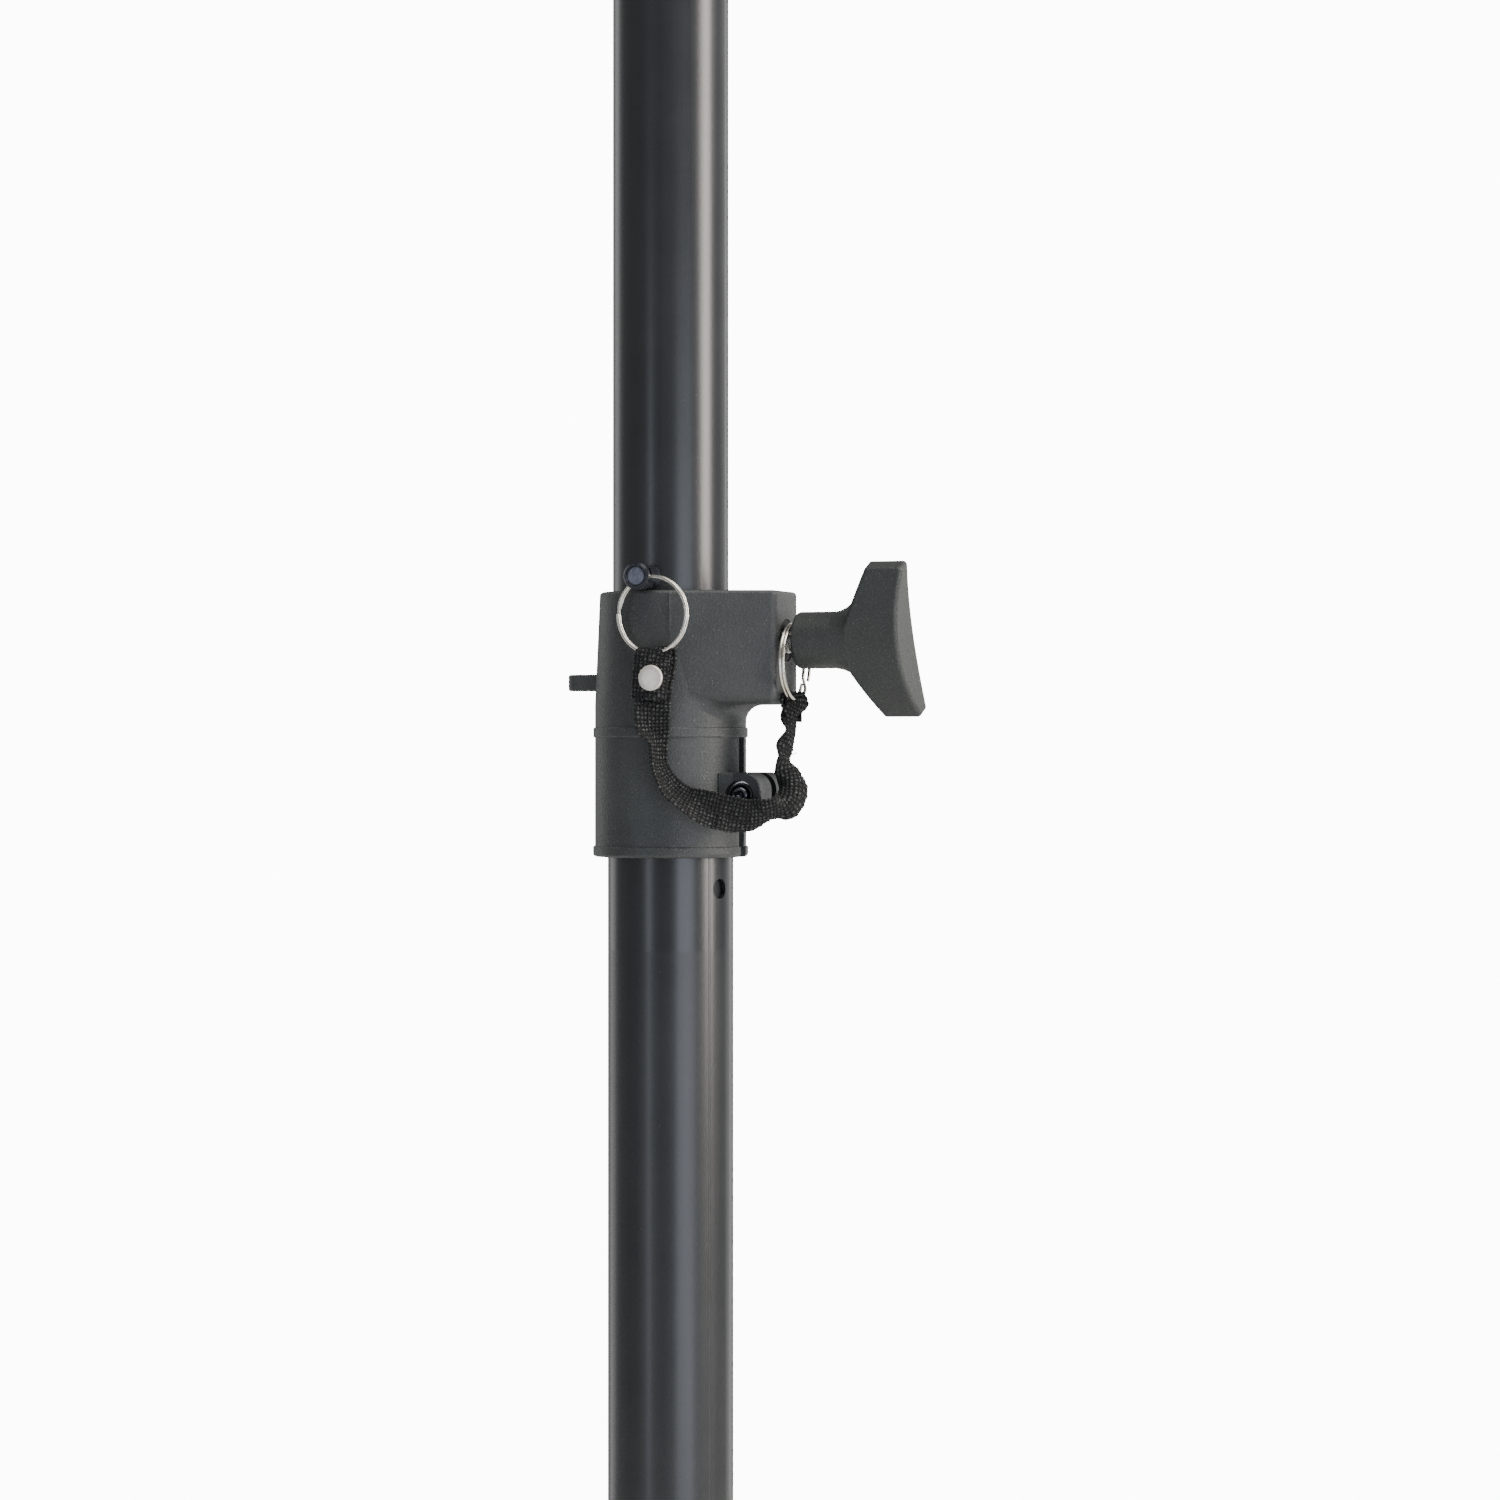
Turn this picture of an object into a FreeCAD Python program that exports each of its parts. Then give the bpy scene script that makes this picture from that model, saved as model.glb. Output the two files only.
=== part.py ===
"""Telescopic pole for a loudspeaker: a 35 mm tube slides in a 38 mm tube, held by a moulded clamp.

Frame: +Z up the pole, origin where the base plug seats and its M20 stud begins, +X towards the
clamp's knob, -Y the way the locking pin is pulled out. Millimetres throughout.
"""

import FreeCAD, Part
import math
import os

import Sketcher
from FreeCAD import Placement, Rotation, Vector

SIZES = {
    # tubes
    "lower_tube_od": 38.0,
    "lower_tube_wall": 1.2,
    "upper_tube_od": 35.0,
    "upper_tube_wall": 1.5,
    "upper_tube_foot": 150.0,
    "pole_top": 750.0,
    "side_hole": 6.0,
    "side_hole_drop": 9.4,
    "spigot_length": 100.0,
    "mark_width": 1.6,
    "mark_depth": 0.3,
    # base fitting
    "stud_size": 20.0,
    "stud_neck": 18.0,
    "stud_reach": 22.0,
    "stud_grip": 34.0,
    "stud_bevel": 1.6,
    "stud_relief": 1.5,
    "plug_flange": 8.0,
    "plug_depth": 46.0,
    "plug_bevel": 1.0,
    "rivet_shank": 5.0,
    "rivet_head": 8.0,
    "rivet_root": 12.0,
    "rivet_dome": 1.5,
    # ends of the upper tube
    "cap_height": 4.0,
    "cap_skirt": 16.0,
    "cap_wall": 2.5,
    "cap_crown": 3.0,
    "foot_depth": 20.0,
    "foot_neck": 18.0,
    "foot_bush_height": 9.0,
    "foot_washer_size": 28.0,
    "foot_washer_depth": 1.5,
    "foot_screw_size": 5.0,
    "foot_screw_head": 9.2,
    "foot_screw_head_depth": 3.5,
    "foot_screw_socket": 4.0,
    "foot_screw_socket_depth": 2.4,
    # clamp housing, heights above its lower rim
    "clamp_foot": 380.0,
    "clamp_length": 79.8,
    "flange_radius": 23.5,
    "flange_depth": 3.3,
    "body_radius": 22.9,
    "bead_radius": 23.4,
    "bead_low": 36.0,
    "bead_high": 39.0,
    "head_low": 45.8,
    "head_radius": 21.4,
    "tube_seat": 40.0,
    "bush_top": 76.0,
    "boss_reach": 37.2,
    "boss_side": 22.1,
    "slit_width": 4.4,
    "ear_low": 11.9,
    "ear_high": 25.5,
    "ear_reach": 33.2,
    "ear_span": 24.0,
    "bolt_reach": 26.4,
    "bolt_level": 18.6,
    "bolt_size": 5.0,
    "bolt_head": 7.6,
    "bolt_head_depth": 2.6,
    "bolt_recess": 3.2,
    "bolt_socket": 3.0,
    "washer_depth": 0.7,
    "nut_width": 8.0,
    "nut_depth": 4.0,
    "lug_low": 50.1,
    "lug_depth": 5.0,
    "lug_reach": 33.0,
    "lug_width": 9.6,
    "lug_hole": 4.6,
    "lug_hole_reach": 28.0,
    # clamp screw, shoe and knob
    "knob_level": 65.0,
    "screw_size": 8.0,
    "insert_size": 13.0,
    "shoe_size": 11.5,
    "shoe_front": 15.0,
    "shoe_back": 25.0,
    "insert_back": 27.0,
    "hub_start": 41.0,
    "hub_end": 61.0,
    "hub_size": 17.0,
    "wing_inner": 65.8,
    "wing_outer": 77.7,
    "wing_dish": 3.0,
    "wing_span": 48.0,
    "wing_middle": 16.6,
    "wing_tip": 4.2,
    "wing_root": 8.6,
    "wing_root_overlap": 2.4,
    "wing_blank": 24.0,
    "screw_grip": 14.0,
    # locking pin and lanyard
    "pin_level": 83.7,
    "pin_size": 7.3,
    "pin_out": 29.0,
    "pin_in": 20.5,
    "pin_rim": 8.0,
    "pin_rim_length": 3.9,
    "pin_hole_pitch": 100.0,
    "pin_ring_out": 26.0,
    "pin_ring_hang": 11.1,
    "ring_hole": 2.7,
    "ring_size": 22.7,
    "ring_wire": 1.5,
    "knob_ring_reach": 39.3,
    "knob_ring_drop": 6.45,
    "webbing_width": 10.7,
    "webbing_fold": 2.6,
    "webbing_out": 28.4,
    "webbing_across": 4.2,
    "webbing_foot": 34.4,
    "webbing_cord": 4.0,
    "lanyard_rivet_level": 53.5,
    "lanyard_rivet_shank": 3.0,
    "lanyard_rivet_head": 7.7,
    "lanyard_rivet_dome": 1.3,
}
BOSS_TURN = 20.0  # degrees: how far each side of the boss leans in towards the knob
KNOB_TURN = 24.0  # degrees: where the tightened knob's wings stand
HOLE_TURN = -18.0  # degrees from +X: the small hole in the lower tube
PIN_TWIST = 18.0  # degrees: how far the pin's cross hole leans, rising towards the knob
HUB_SWELL = [  # how far behind the hub's end, half its height there, half its width
    (8.5, 8.47, 8.45),
    (4.5, 9.7, 8.4),
    (1.5, 12.2, 8.2),
    (0.2, 14.6, 7.7),
]
FIT = 0.05  # radial running clearance of sliding fits
LOOSE = 0.3  # clearance between pieces that never touch
SHOE_ROOM = 0.25  # radial room round the brake shoe
INSIDE_COLLAR = 20.0  # ears and lug start this far from the axis, within the collar's wall
SKIN = 0.02  # gap under a head that rests on a curved or pierced face

document = FreeCAD.newDocument("speaker_pole")
sheet = document.addObject("Spreadsheet::Sheet", "Sizes")
for row, (alias, millimetres) in enumerate(SIZES.items(), start=1):
    sheet.set(f"A{row}", alias)
    sheet.set(f"B{row}", str(millimetres))
    sheet.setAlias(f"B{row}", alias)
document.recompute()


class Size:
    """A length that carries its number and the sheet expression that gives it."""

    def __init__(self, number, text):
        self.number = number
        self.text = text

    def __add__(self, other):
        other = as_size(other)
        return Size(self.number + other.number, f"({self.text} + {other.text})")

    def __sub__(self, other):
        other = as_size(other)
        return Size(self.number - other.number, f"({self.text} - {other.text})")

    def __rsub__(self, other):
        return as_size(other) - self

    def __mul__(self, factor):
        return Size(self.number * factor, f"({self.text} * {factor})")

    def __truediv__(self, factor):
        return Size(self.number / factor, f"({self.text} / {factor})")

    def __neg__(self):
        return Size(-self.number, f"(0 - {self.text})")


def as_size(value):
    return value if isinstance(value, Size) else Size(float(value), f"{float(value)}")


def of(alias):
    """The size that the sheet calls alias."""
    return Size(SIZES[alias], f"Sizes.{alias}")


ALONG_X = Rotation(Vector(0, 1, 0), 90)  # turns a piece's own Z to +X
ALONG_FRONT = Rotation(Vector(1, 0, 0), 90)  # turns a piece's own Z to -Y
ALONG_BACK = Rotation(Vector(1, 0, 0), -90)  # turns a piece's own Z to +Y
UPRIGHT = Rotation()


def place(item, at, turn=UPRIGHT):
    """Puts an object at a point given by three sizes, bound to the sheet."""
    at = [as_size(value) for value in at]
    item.Placement = Placement(Vector(*[value.number for value in at]), turn)
    for axis, value in zip("xyz", at):
        item.setExpression(f"Placement.Base.{axis}", value.text)


def new_body(label, at=(0, 0, 0), turn=UPRIGHT):
    body = document.addObject("PartDesign::Body", label)
    body.Label = label
    place(body, at, turn)
    return body


def new_sketch(body, name, role, offset=None):
    """A sketch on one of the body's own origin planes."""
    sketch = body.newObject("Sketcher::SketchObject", name)
    plane = [item for item in body.Origin.OriginFeatures if item.Role == role][0]
    sketch.AttachmentSupport = [(plane, "")]
    sketch.MapMode = "FlatFace"
    if offset is not None:
        sketch.setExpression("AttachmentOffset.Base.z", offset.text)
    return sketch


def pin_corner(sketch, edge, end, x, y):
    """Holds one end of a sketch edge at (x, y) from the sketch's origin."""
    for kind, value, axis in (("DistanceX", x, -2), ("DistanceY", y, -1)):
        if value.number == 0:
            sketch.addConstraint(Sketcher.Constraint("PointOnObject", edge, end, axis))
        elif value.number > 0:
            number = sketch.addConstraint(
                Sketcher.Constraint(kind, -1, 1, edge, end, value.number)
            )
            sketch.setExpression(f"Constraints[{number}]", value.text)
        else:
            number = sketch.addConstraint(
                Sketcher.Constraint(kind, edge, end, -1, 1, -value.number)
            )
            sketch.setExpression(f"Constraints[{number}]", (-value).text)


def polygon(sketch, corners):
    """A closed outline of straight edges through corners, each a pair of sizes."""
    corners = [(as_size(x), as_size(y)) for x, y in corners]
    first = sketch.GeometryCount
    count = len(corners)
    for number, (x, y) in enumerate(corners):
        after_x, after_y = corners[(number + 1) % count]
        start, end = Vector(x.number, y.number, 0), Vector(after_x.number, after_y.number, 0)
        sketch.addGeometry(Part.LineSegment(start, end))
    for number, (x, y) in enumerate(corners):
        joined = first + (number + 1) % count
        sketch.addConstraint(Sketcher.Constraint("Coincident", first + number, 2, joined, 1))
        pin_corner(sketch, first + number, 1, x, y)


def bound_radius(sketch, edge, radius):
    number = sketch.addConstraint(Sketcher.Constraint("Radius", edge, radius.number))
    sketch.setExpression(f"Constraints[{number}]", radius.text)


def turned(label, profile, at=(0, 0, 0), turn=UPRIGHT):
    """A lathe-turned body: profile is (radius, height) pairs about its own Z."""
    body = new_body(label, at, turn)
    sketch = new_sketch(body, label + "_profile", "XZ_Plane")
    polygon(sketch, profile)
    revolve(body, sketch, label + "_turning")
    return body


def revolve(body, sketch, name, kind="PartDesign::Revolution"):
    feature = body.newObject(kind, name)
    feature.Profile = sketch
    feature.ReferenceAxis = (sketch, ["V_Axis"])
    feature.Angle = 360
    return feature


def through_both_ways(body, kind, sketch, name, width):
    """A pad or pocket of the given width, half of it each side of the sketch."""
    feature = body.newObject(kind, name)
    feature.Profile = sketch
    feature.SideType = "Symmetric"
    feature.setExpression("Length", as_size(width).text)
    return feature


def drill(body, name, radius, depth, at, turn=UPRIGHT):
    """A round hole that starts at a point and runs along the turned Z."""
    hole = body.newObject("PartDesign::SubtractiveCylinder", name)
    hole.setExpression("Radius", as_size(radius).text)
    hole.setExpression("Height", as_size(depth).text)
    place(hole, at, turn)
    return hole


def hexagon_pocket(body, name, across, depth, at, turn=UPRIGHT):
    """A six-sided socket of the given width across its flats."""
    socket = body.newObject("PartDesign::SubtractivePrism", name)
    socket.Polygon = 6
    socket.setExpression("Circumradius", (as_size(across) / math.sqrt(3)).text)
    socket.setExpression("Height", as_size(depth).text)
    place(socket, at, turn)
    return socket


def round_edges(body, name, radius, wanted):
    """Rounds the edges of the body's shape so far that wanted(edge) picks."""
    document.recompute()
    base = body.Tip
    names = [f"Edge{n}" for n, edge in enumerate(base.Shape.Edges, start=1) if wanted(edge)]
    fillet = body.newObject("PartDesign::Fillet", name)
    fillet.Base = (base, names)
    fillet.Radius = radius
    return fillet


def level(edge, height, tolerance=0.01):
    """Whether the whole edge lies at that height in its body."""
    box = edge.BoundBox
    return abs(box.ZMin - height) < tolerance and abs(box.ZMax - height) < tolerance


# ---------------------------------------------------------------- tubes and their fittings


def tube(label, outer, wall, foot, top):
    body = new_body(label, (0, 0, foot))
    sketch = new_sketch(body, label + "_section", "XY_Plane")
    for number, radius in enumerate((outer / 2, outer / 2 - wall)):
        sketch.addGeometry(Part.Circle(Vector(), Vector(0, 0, 1), radius.number))
        sketch.addConstraint(Sketcher.Constraint("Coincident", number, 3, -1, 1))
        bound_radius(sketch, number, radius)
    pad = body.newObject("PartDesign::Pad", label + "_length")
    pad.Profile = sketch
    pad.setExpression("Length", (top - foot).text)
    return body


def lower_tube():
    foot = of("plug_flange")
    top = of("clamp_foot") + of("tube_seat")
    body = tube("lower_tube", of("lower_tube_od"), of("lower_tube_wall"), foot, top)
    level_of_hole = of("clamp_foot") - of("side_hole_drop") - foot
    turn = Rotation(Vector(0, 0, 1), HOLE_TURN).multiply(ALONG_X)
    drill(body, "side_hole", of("side_hole") / 2, of("lower_tube_od"), (0, 0, level_of_hole), turn)
    for side, along in (("left", ALONG_X.inverted()), ("right", ALONG_X)):
        drill(
            body, "rivet_hole_" + side, of("rivet_shank") / 2, of("lower_tube_od"),
            (0, 0, of("plug_depth") / 2), along,
        )


def upper_tube():
    foot = of("upper_tube_foot")
    outer = of("upper_tube_od")
    body = tube("upper_tube", outer, of("upper_tube_wall"), foot, of("pole_top") - of("cap_height"))
    first = of("clamp_foot") + of("pin_level") - foot
    for number in range(3):
        drill(
            body, f"pin_hole_{number + 1}", of("pin_size") / 2 + FIT, outer * 2,
            (0, outer, first - of("pin_hole_pitch") * number), ALONG_FRONT,
        )
    # a fine groove marks how far the tube goes into a loudspeaker
    mark = new_sketch(body, "mark_outline", "XZ_Plane")
    high = of("pole_top") - of("spigot_length") - foot
    low = high - of("mark_width")
    root = outer / 2 - of("mark_depth")
    polygon(mark, [(root, low), (outer, low), (outer, high), (root, high)])
    revolve(body, mark, "insertion_mark", "PartDesign::Groove")


def base_fitting():
    tube_radius = of("lower_tube_od") / 2
    bore_radius = tube_radius - of("lower_tube_wall")
    stud_radius = of("stud_size") / 2
    neck = of("stud_neck") / 2
    flange, depth, grip = of("plug_flange"), of("plug_depth"), of("stud_grip")
    bevel, relief = of("plug_bevel"), of("stud_relief")
    plug = turned(
        "base_plug",
        [
            (neck, relief), (neck + relief, 0), (tube_radius - bevel, 0), (tube_radius, bevel),
            (tube_radius, flange),
            (bore_radius, flange), (bore_radius, depth - bevel * 2), (bore_radius - bevel * 2, depth),
            (0, depth), (0, grip), (neck, grip),
        ],
    )
    reach, stud_bevel = -of("stud_reach"), of("stud_bevel")
    turned(
        "base_stud",
        [
            (0, reach), (stud_radius - stud_bevel, reach), (stud_radius, reach + stud_bevel),
            (stud_radius, 0), (neck, 0), (neck, grip), (0, grip),
        ],
    )
    shank, head, root = of("rivet_shank") / 2, of("rivet_head") / 2, of("rivet_root")
    level_of_rivets = depth / 2 + flange
    seat = tube_radius + SKIN
    for side, sign, along in (("left", -1, ALONG_X.inverted()), ("right", 1, ALONG_X)):
        drill(
            plug, "plug_rivet_hole_" + side, shank, tube_radius, (root * sign, 0, level_of_rivets), along
        )
        turned(
            "plug_rivet_" + side,
            [
                (0, root), (shank, root), (shank, seat), (head, seat), (head, seat + of("rivet_dome") / 3),
                (head * 0.7, seat + of("rivet_dome") * 0.8), (0, seat + of("rivet_dome")),
            ],
            (0, 0, level_of_rivets), along,
        )


def top_cap(bore, outer):
    """A plastic cap: a domed lid that covers the tube's end and a skirt inside it."""
    height, skirt, wall, crown = of("cap_height"), of("cap_skirt"), of("cap_wall"), of("cap_crown")
    turned(
        "top_cap",
        [
            (0, height), (outer - crown, height), (outer - crown / 3, height * 0.8), (outer, height * 0.4),
            (outer, 0), (bore, 0), (bore, 2.0 - skirt), (bore - wall / 2, -skirt),
            (bore - wall, -skirt), (bore - wall, height - wall), (0, height - wall),
        ],
        (0, 0, of("pole_top") - height),
    )


def foot_fitting(bore):
    """Closes the upper tube's foot and guides it in the lower tube: plug, bush, washer and screw."""
    foot = (0, 0, of("upper_tube_foot"))
    slide = of("lower_tube_od") / 2 - of("lower_tube_wall") - FIT
    neck, under, depth = of("foot_neck") / 2, -of("foot_bush_height"), of("foot_depth")
    screw, edge = of("foot_screw_size") / 2, 1.0
    thread_end = depth / 2
    turned(
        "foot_plug",
        [
            (screw, under), (neck, under), (neck, 0), (bore, 0), (bore, depth - edge * 2),
            (bore - edge * 2, depth), (0, depth), (0, thread_end + 2.0), (screw, thread_end + 2.0),
        ],
        foot,
    )
    turned(
        "foot_bush",
        [
            (neck, under), (slide - edge, under), (slide, under + edge), (slide, -edge),
            (slide - edge, 0), (neck, 0),
        ],
        foot,
    )
    washer, washer_foot = of("foot_washer_size") / 2, under - of("foot_washer_depth")
    hole = screw + FIT * 2
    turned(
        "foot_washer", [(hole, washer_foot), (washer, washer_foot), (washer, under), (hole, under)], foot
    )
    head, head_end = of("foot_screw_head") / 2, washer_foot - of("foot_screw_head_depth")
    body = turned(
        "foot_screw",
        [
            (0, head_end), (head - 0.6, head_end), (head, head_end + 0.6), (head, washer_foot),
            (screw, washer_foot), (screw, thread_end), (0, thread_end),
        ],
        foot,
    )
    socket, socket_depth = of("foot_screw_socket"), of("foot_screw_socket_depth")
    hexagon_pocket(body, "foot_screw_socket", socket, socket_depth, (0, 0, head_end))


def upper_tube_ends():
    outer = of("upper_tube_od") / 2
    bore = outer - of("upper_tube_wall")
    top_cap(bore, outer)
    foot_fitting(bore)


# ---------------------------------------------------------------- clamp housing


def boss_form():
    """The knob's boss: its sides lean in from the collar to a blunt end, all edges rounded."""
    body = new_body("boss_form")
    outline = new_sketch(body, "boss_plan", "XY_Plane", of("head_low"))
    lean = math.radians(BOSS_TURN)
    across, along = math.cos(lean), math.sin(lean)
    side = of("boss_side")
    root = side * along
    end_half = (side - of("boss_reach") * along) / across
    polygon(
        outline,
        [
            (root, -(side * across)), (of("boss_reach"), -end_half),
            (of("boss_reach"), end_half), (root, side * across),
        ],
    )
    pad = body.newObject("PartDesign::Pad", "boss")
    pad.Profile = outline
    pad.setExpression("Length", (of("clamp_length") - of("head_low")).text)
    reach, low, top = SIZES["boss_reach"], SIZES["head_low"], SIZES["clamp_length"]
    round_edges(
        body, "boss_end_round", 2.0,
        lambda edge: edge.BoundBox.XMin > reach - 0.01 and edge.BoundBox.ZLength > 5,
    )

    def away_from_tube(height):
        return lambda edge: level(edge, height) and edge.BoundBox.XMax > root.number + 1

    round_edges(body, "boss_foot_round", 3.4, away_from_tube(low))
    round_edges(body, "boss_top_round", 1.2, away_from_tube(top))
    return body


def clamp_housing():
    form = boss_form()
    body = new_body("clamp_housing", (0, 0, of("clamp_foot")))
    top, head_low = of("clamp_length"), of("head_low")
    collar = new_sketch(body, "collar_profile", "XZ_Plane")
    polygon(
        collar,
        [
            (0, 0), (of("flange_radius"), 0), (of("flange_radius"), of("flange_depth")),
            (of("body_radius"), of("flange_depth")), (of("body_radius"), of("bead_low")),
            (of("bead_radius"), of("bead_low")), (of("bead_radius"), of("bead_high")),
            (of("body_radius"), of("bead_high")), (of("body_radius"), head_low),
            (of("head_radius"), top), (0, top),
        ],
    )
    revolve(body, collar, "collar")
    flange, bead_low, bead_high = SIZES["flange_depth"], SIZES["bead_low"], SIZES["bead_high"]

    def circle_at(radius, *heights):
        """Picks the collar's own full circles of that radius at those heights."""
        return lambda edge: edge.BoundBox.XMax > radius - 0.01 and any(
            level(edge, height) for height in heights
        )

    round_edges(body, "rim_foot_round", 1.2, circle_at(SIZES["flange_radius"], 0))
    round_edges(body, "rim_top_round", 0.45, circle_at(SIZES["flange_radius"], flange))
    round_edges(body, "bead_round", 0.35, circle_at(SIZES["bead_radius"], bead_low, bead_high))
    round_edges(body, "collar_top_round", 1.2, circle_at(SIZES["head_radius"], top.number))
    joined = body.newObject("PartDesign::Boolean", "boss_joined")
    joined.Group = [form]
    joined.Type = "Fuse"

    def boss_root(edge):
        return level(edge, head_low.number) and 15 < edge.BoundBox.XMin < edge.BoundBox.XMax < 23

    round_edges(body, "boss_root_round", 5.0, boss_root)

    ears = new_sketch(body, "ear_outline", "XZ_Plane")
    polygon(
        ears,
        [
            (INSIDE_COLLAR, of("ear_low")), (of("ear_reach"), of("ear_low")),
            (of("ear_reach"), of("ear_high")), (INSIDE_COLLAR, of("ear_high")),
        ],
    )
    through_both_ways(body, "PartDesign::Pad", ears, "ears", of("ear_span"))

    def ear_nose(edge):
        box = edge.BoundBox
        return box.XMin > SIZES["ear_reach"] - 0.01 and box.YLength > 1 and box.ZLength < 0.01

    round_edges(body, "ear_nose_round", 5.2, ear_nose)

    def ear_side(edge):
        box = edge.BoundBox
        at_side = abs(abs(box.YMin) - SIZES["ear_span"] / 2) < 0.01 and box.YLength < 0.01
        return at_side and box.XMax > 24 and box.ZMax < SIZES["ear_high"] + 0.1

    round_edges(body, "ear_side_round", 0.8, ear_side)

    lug = new_sketch(body, "lug_outline", "XY_Plane", of("lug_low"))
    half_lug, lug_end, lug_root = of("lug_width") / 2, -of("lug_reach"), -INSIDE_COLLAR
    polygon(
        lug,
        [(lug_root, -half_lug), (lug_root, half_lug), (lug_end, half_lug), (lug_end, -half_lug)],
    )
    pad = body.newObject("PartDesign::Pad", "lug")
    pad.Profile = lug
    pad.setExpression("Length", of("lug_depth").text)

    def lug_corner(edge):
        box = edge.BoundBox
        return box.XMax < -SIZES["lug_reach"] + 0.01 and box.ZLength > 1

    round_edges(body, "lug_round", SIZES["lug_width"] / 2 - 0.1, lug_corner)

    def lug_rim(edge):
        box = edge.BoundBox
        low = SIZES["lug_low"]
        return box.XMax < -23.0 and box.ZLength < 0.01 and low - 0.01 < box.ZMin < low + 6

    round_edges(body, "lug_edge_round", 0.7, lug_rim)
    drill(
        body, "lug_hole", of("lug_hole") / 2, of("lug_depth") * 3,
        (-of("lug_hole_reach"), 0, of("lug_low") - of("lug_depth")),
    )

    slit = new_sketch(body, "slit_outline", "XZ_Plane")
    slit_root, slit_end, slit_top = of("lower_tube_od") / 2 - 4.0, of("ear_reach") + 10.0, of("bead_low")
    polygon(slit, [(slit_root, -1.0), (slit_end, -1.0), (slit_end, slit_top), (slit_root, slit_top)])
    through_both_ways(body, "PartDesign::Pocket", slit, "slit", of("slit_width"))
    drill(body, "tube_bore", of("lower_tube_od") / 2, of("bush_top") + 1.0, (0, 0, -1.0))
    drill(body, "tube_mouth", of("upper_tube_od") / 2 + LOOSE, of("clamp_length"), (0, 0, 1.0))
    knob_at, back = of("knob_level"), of("insert_back")
    inside = as_size(10.0)
    drill(body, "shoe_bore", of("shoe_size") / 2 + SHOE_ROOM, back - inside, (inside, 0, knob_at), ALONG_X)
    drill(body, "insert_bore", of("insert_size") / 2, of("boss_reach") / 2, (back, 0, knob_at), ALONG_X)
    bolt_x, bolt_z = of("bolt_reach"), of("bolt_level")
    side = of("ear_span") / 2
    past = side + 1.0
    drill(body, "bolt_hole", of("bolt_size") / 2 + 0.1, past * 2, (bolt_x, past, bolt_z), ALONG_FRONT)
    recess, depth = of("bolt_head") / 2 + 0.7, of("bolt_recess")
    drill(body, "head_recess", recess, depth * 2, (bolt_x, depth - side, bolt_z), ALONG_FRONT)
    pocket = (bolt_x, side - of("nut_depth"), bolt_z)
    hexagon_pocket(body, "nut_pocket", of("nut_width") + 0.1, of("nut_depth") * 1.5, pocket, ALONG_BACK)


def clamp_fittings():
    foot = of("clamp_foot")
    seat, bush_top = of("tube_seat"), of("bush_top")
    bush_inner, bush_outer = of("upper_tube_od") / 2 + FIT, of("lower_tube_od") / 2
    bush = turned(
        "guide_bush",
        [(bush_inner, seat), (bush_outer, seat), (bush_outer, bush_top), (bush_inner, bush_top)],
        (0, 0, foot),
    )
    knob_at = of("knob_level")
    drill(bush, "bush_window", of("shoe_size") / 2 + SHOE_ROOM, bush_outer, (10.0, 0, knob_at), ALONG_X)
    thread, outside = of("screw_size") / 2 + FIT, of("insert_size") / 2
    back, front = of("insert_back"), of("boss_reach") - 0.2
    turned(
        "thread_insert",
        [(thread, back), (outside, back), (outside, front), (thread, front)],
        (0, 0, foot + knob_at), ALONG_X,
    )
    clamp_bolt(of("bolt_reach"), foot + of("bolt_level"), of("ear_span") / 2)


def clamp_bolt(across, level_of_bolt, side):
    """The bolt that squeezes the ears, its washer in the near ear and its nut in the far one."""
    seat = side - of("bolt_recess")
    under_head = seat + of("washer_depth")
    top = under_head + of("bolt_head_depth")
    head, shank = of("bolt_head") / 2, of("bolt_size") / 2
    at = (across, 0, level_of_bolt)
    hole, rim = shank + 0.1, head + 0.5
    turned(
        "bolt_washer", [(hole, seat), (rim, seat), (rim, under_head), (hole, under_head)], at, ALONG_FRONT
    )
    bolt = turned(
        "clamp_bolt",
        [
            (0, -side), (shank - 0.5, -side), (shank, 0.5 - side), (shank, under_head),
            (head, under_head), (head, top - 0.7), (head - 0.8, top), (0, top),
        ],
        at, ALONG_FRONT,
    )
    socket_depth = of("bolt_head_depth") - 0.6
    hexagon_pocket(bolt, "bolt_socket", of("bolt_socket"), socket_depth + 1.0, (0, 0, top - socket_depth))
    nut = new_body("clamp_nut", (across, side - of("nut_depth"), level_of_bolt), ALONG_BACK)
    prism = nut.newObject("PartDesign::AdditivePrism", "nut_blank")
    prism.Polygon = 6
    prism.setExpression("Circumradius", (of("nut_width") / math.sqrt(3)).text)
    prism.setExpression("Height", (of("nut_depth") - 0.1).text)
    drill(nut, "nut_thread", shank, of("nut_depth") * 2, (0, 0, -1.0))


# ---------------------------------------------------------------- knob and screw


def brake_shoe():
    radius, front, back = of("shoe_size") / 2, of("shoe_front"), of("shoe_back")
    bevel = 0.6
    body = turned(
        "brake_shoe",
        [(0, front), (radius, front), (radius, back - bevel), (radius - bevel, back), (0, back)],
        (0, 0, of("clamp_foot") + of("knob_level")), ALONG_X,
    )
    # the hollow face that bears on the tube; the body's own X is the pole's -Z
    drill(body, "tube_face", of("upper_tube_od") / 2 + FIT, 40.0, (-20.0, 0, 0), ALONG_X)


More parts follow.
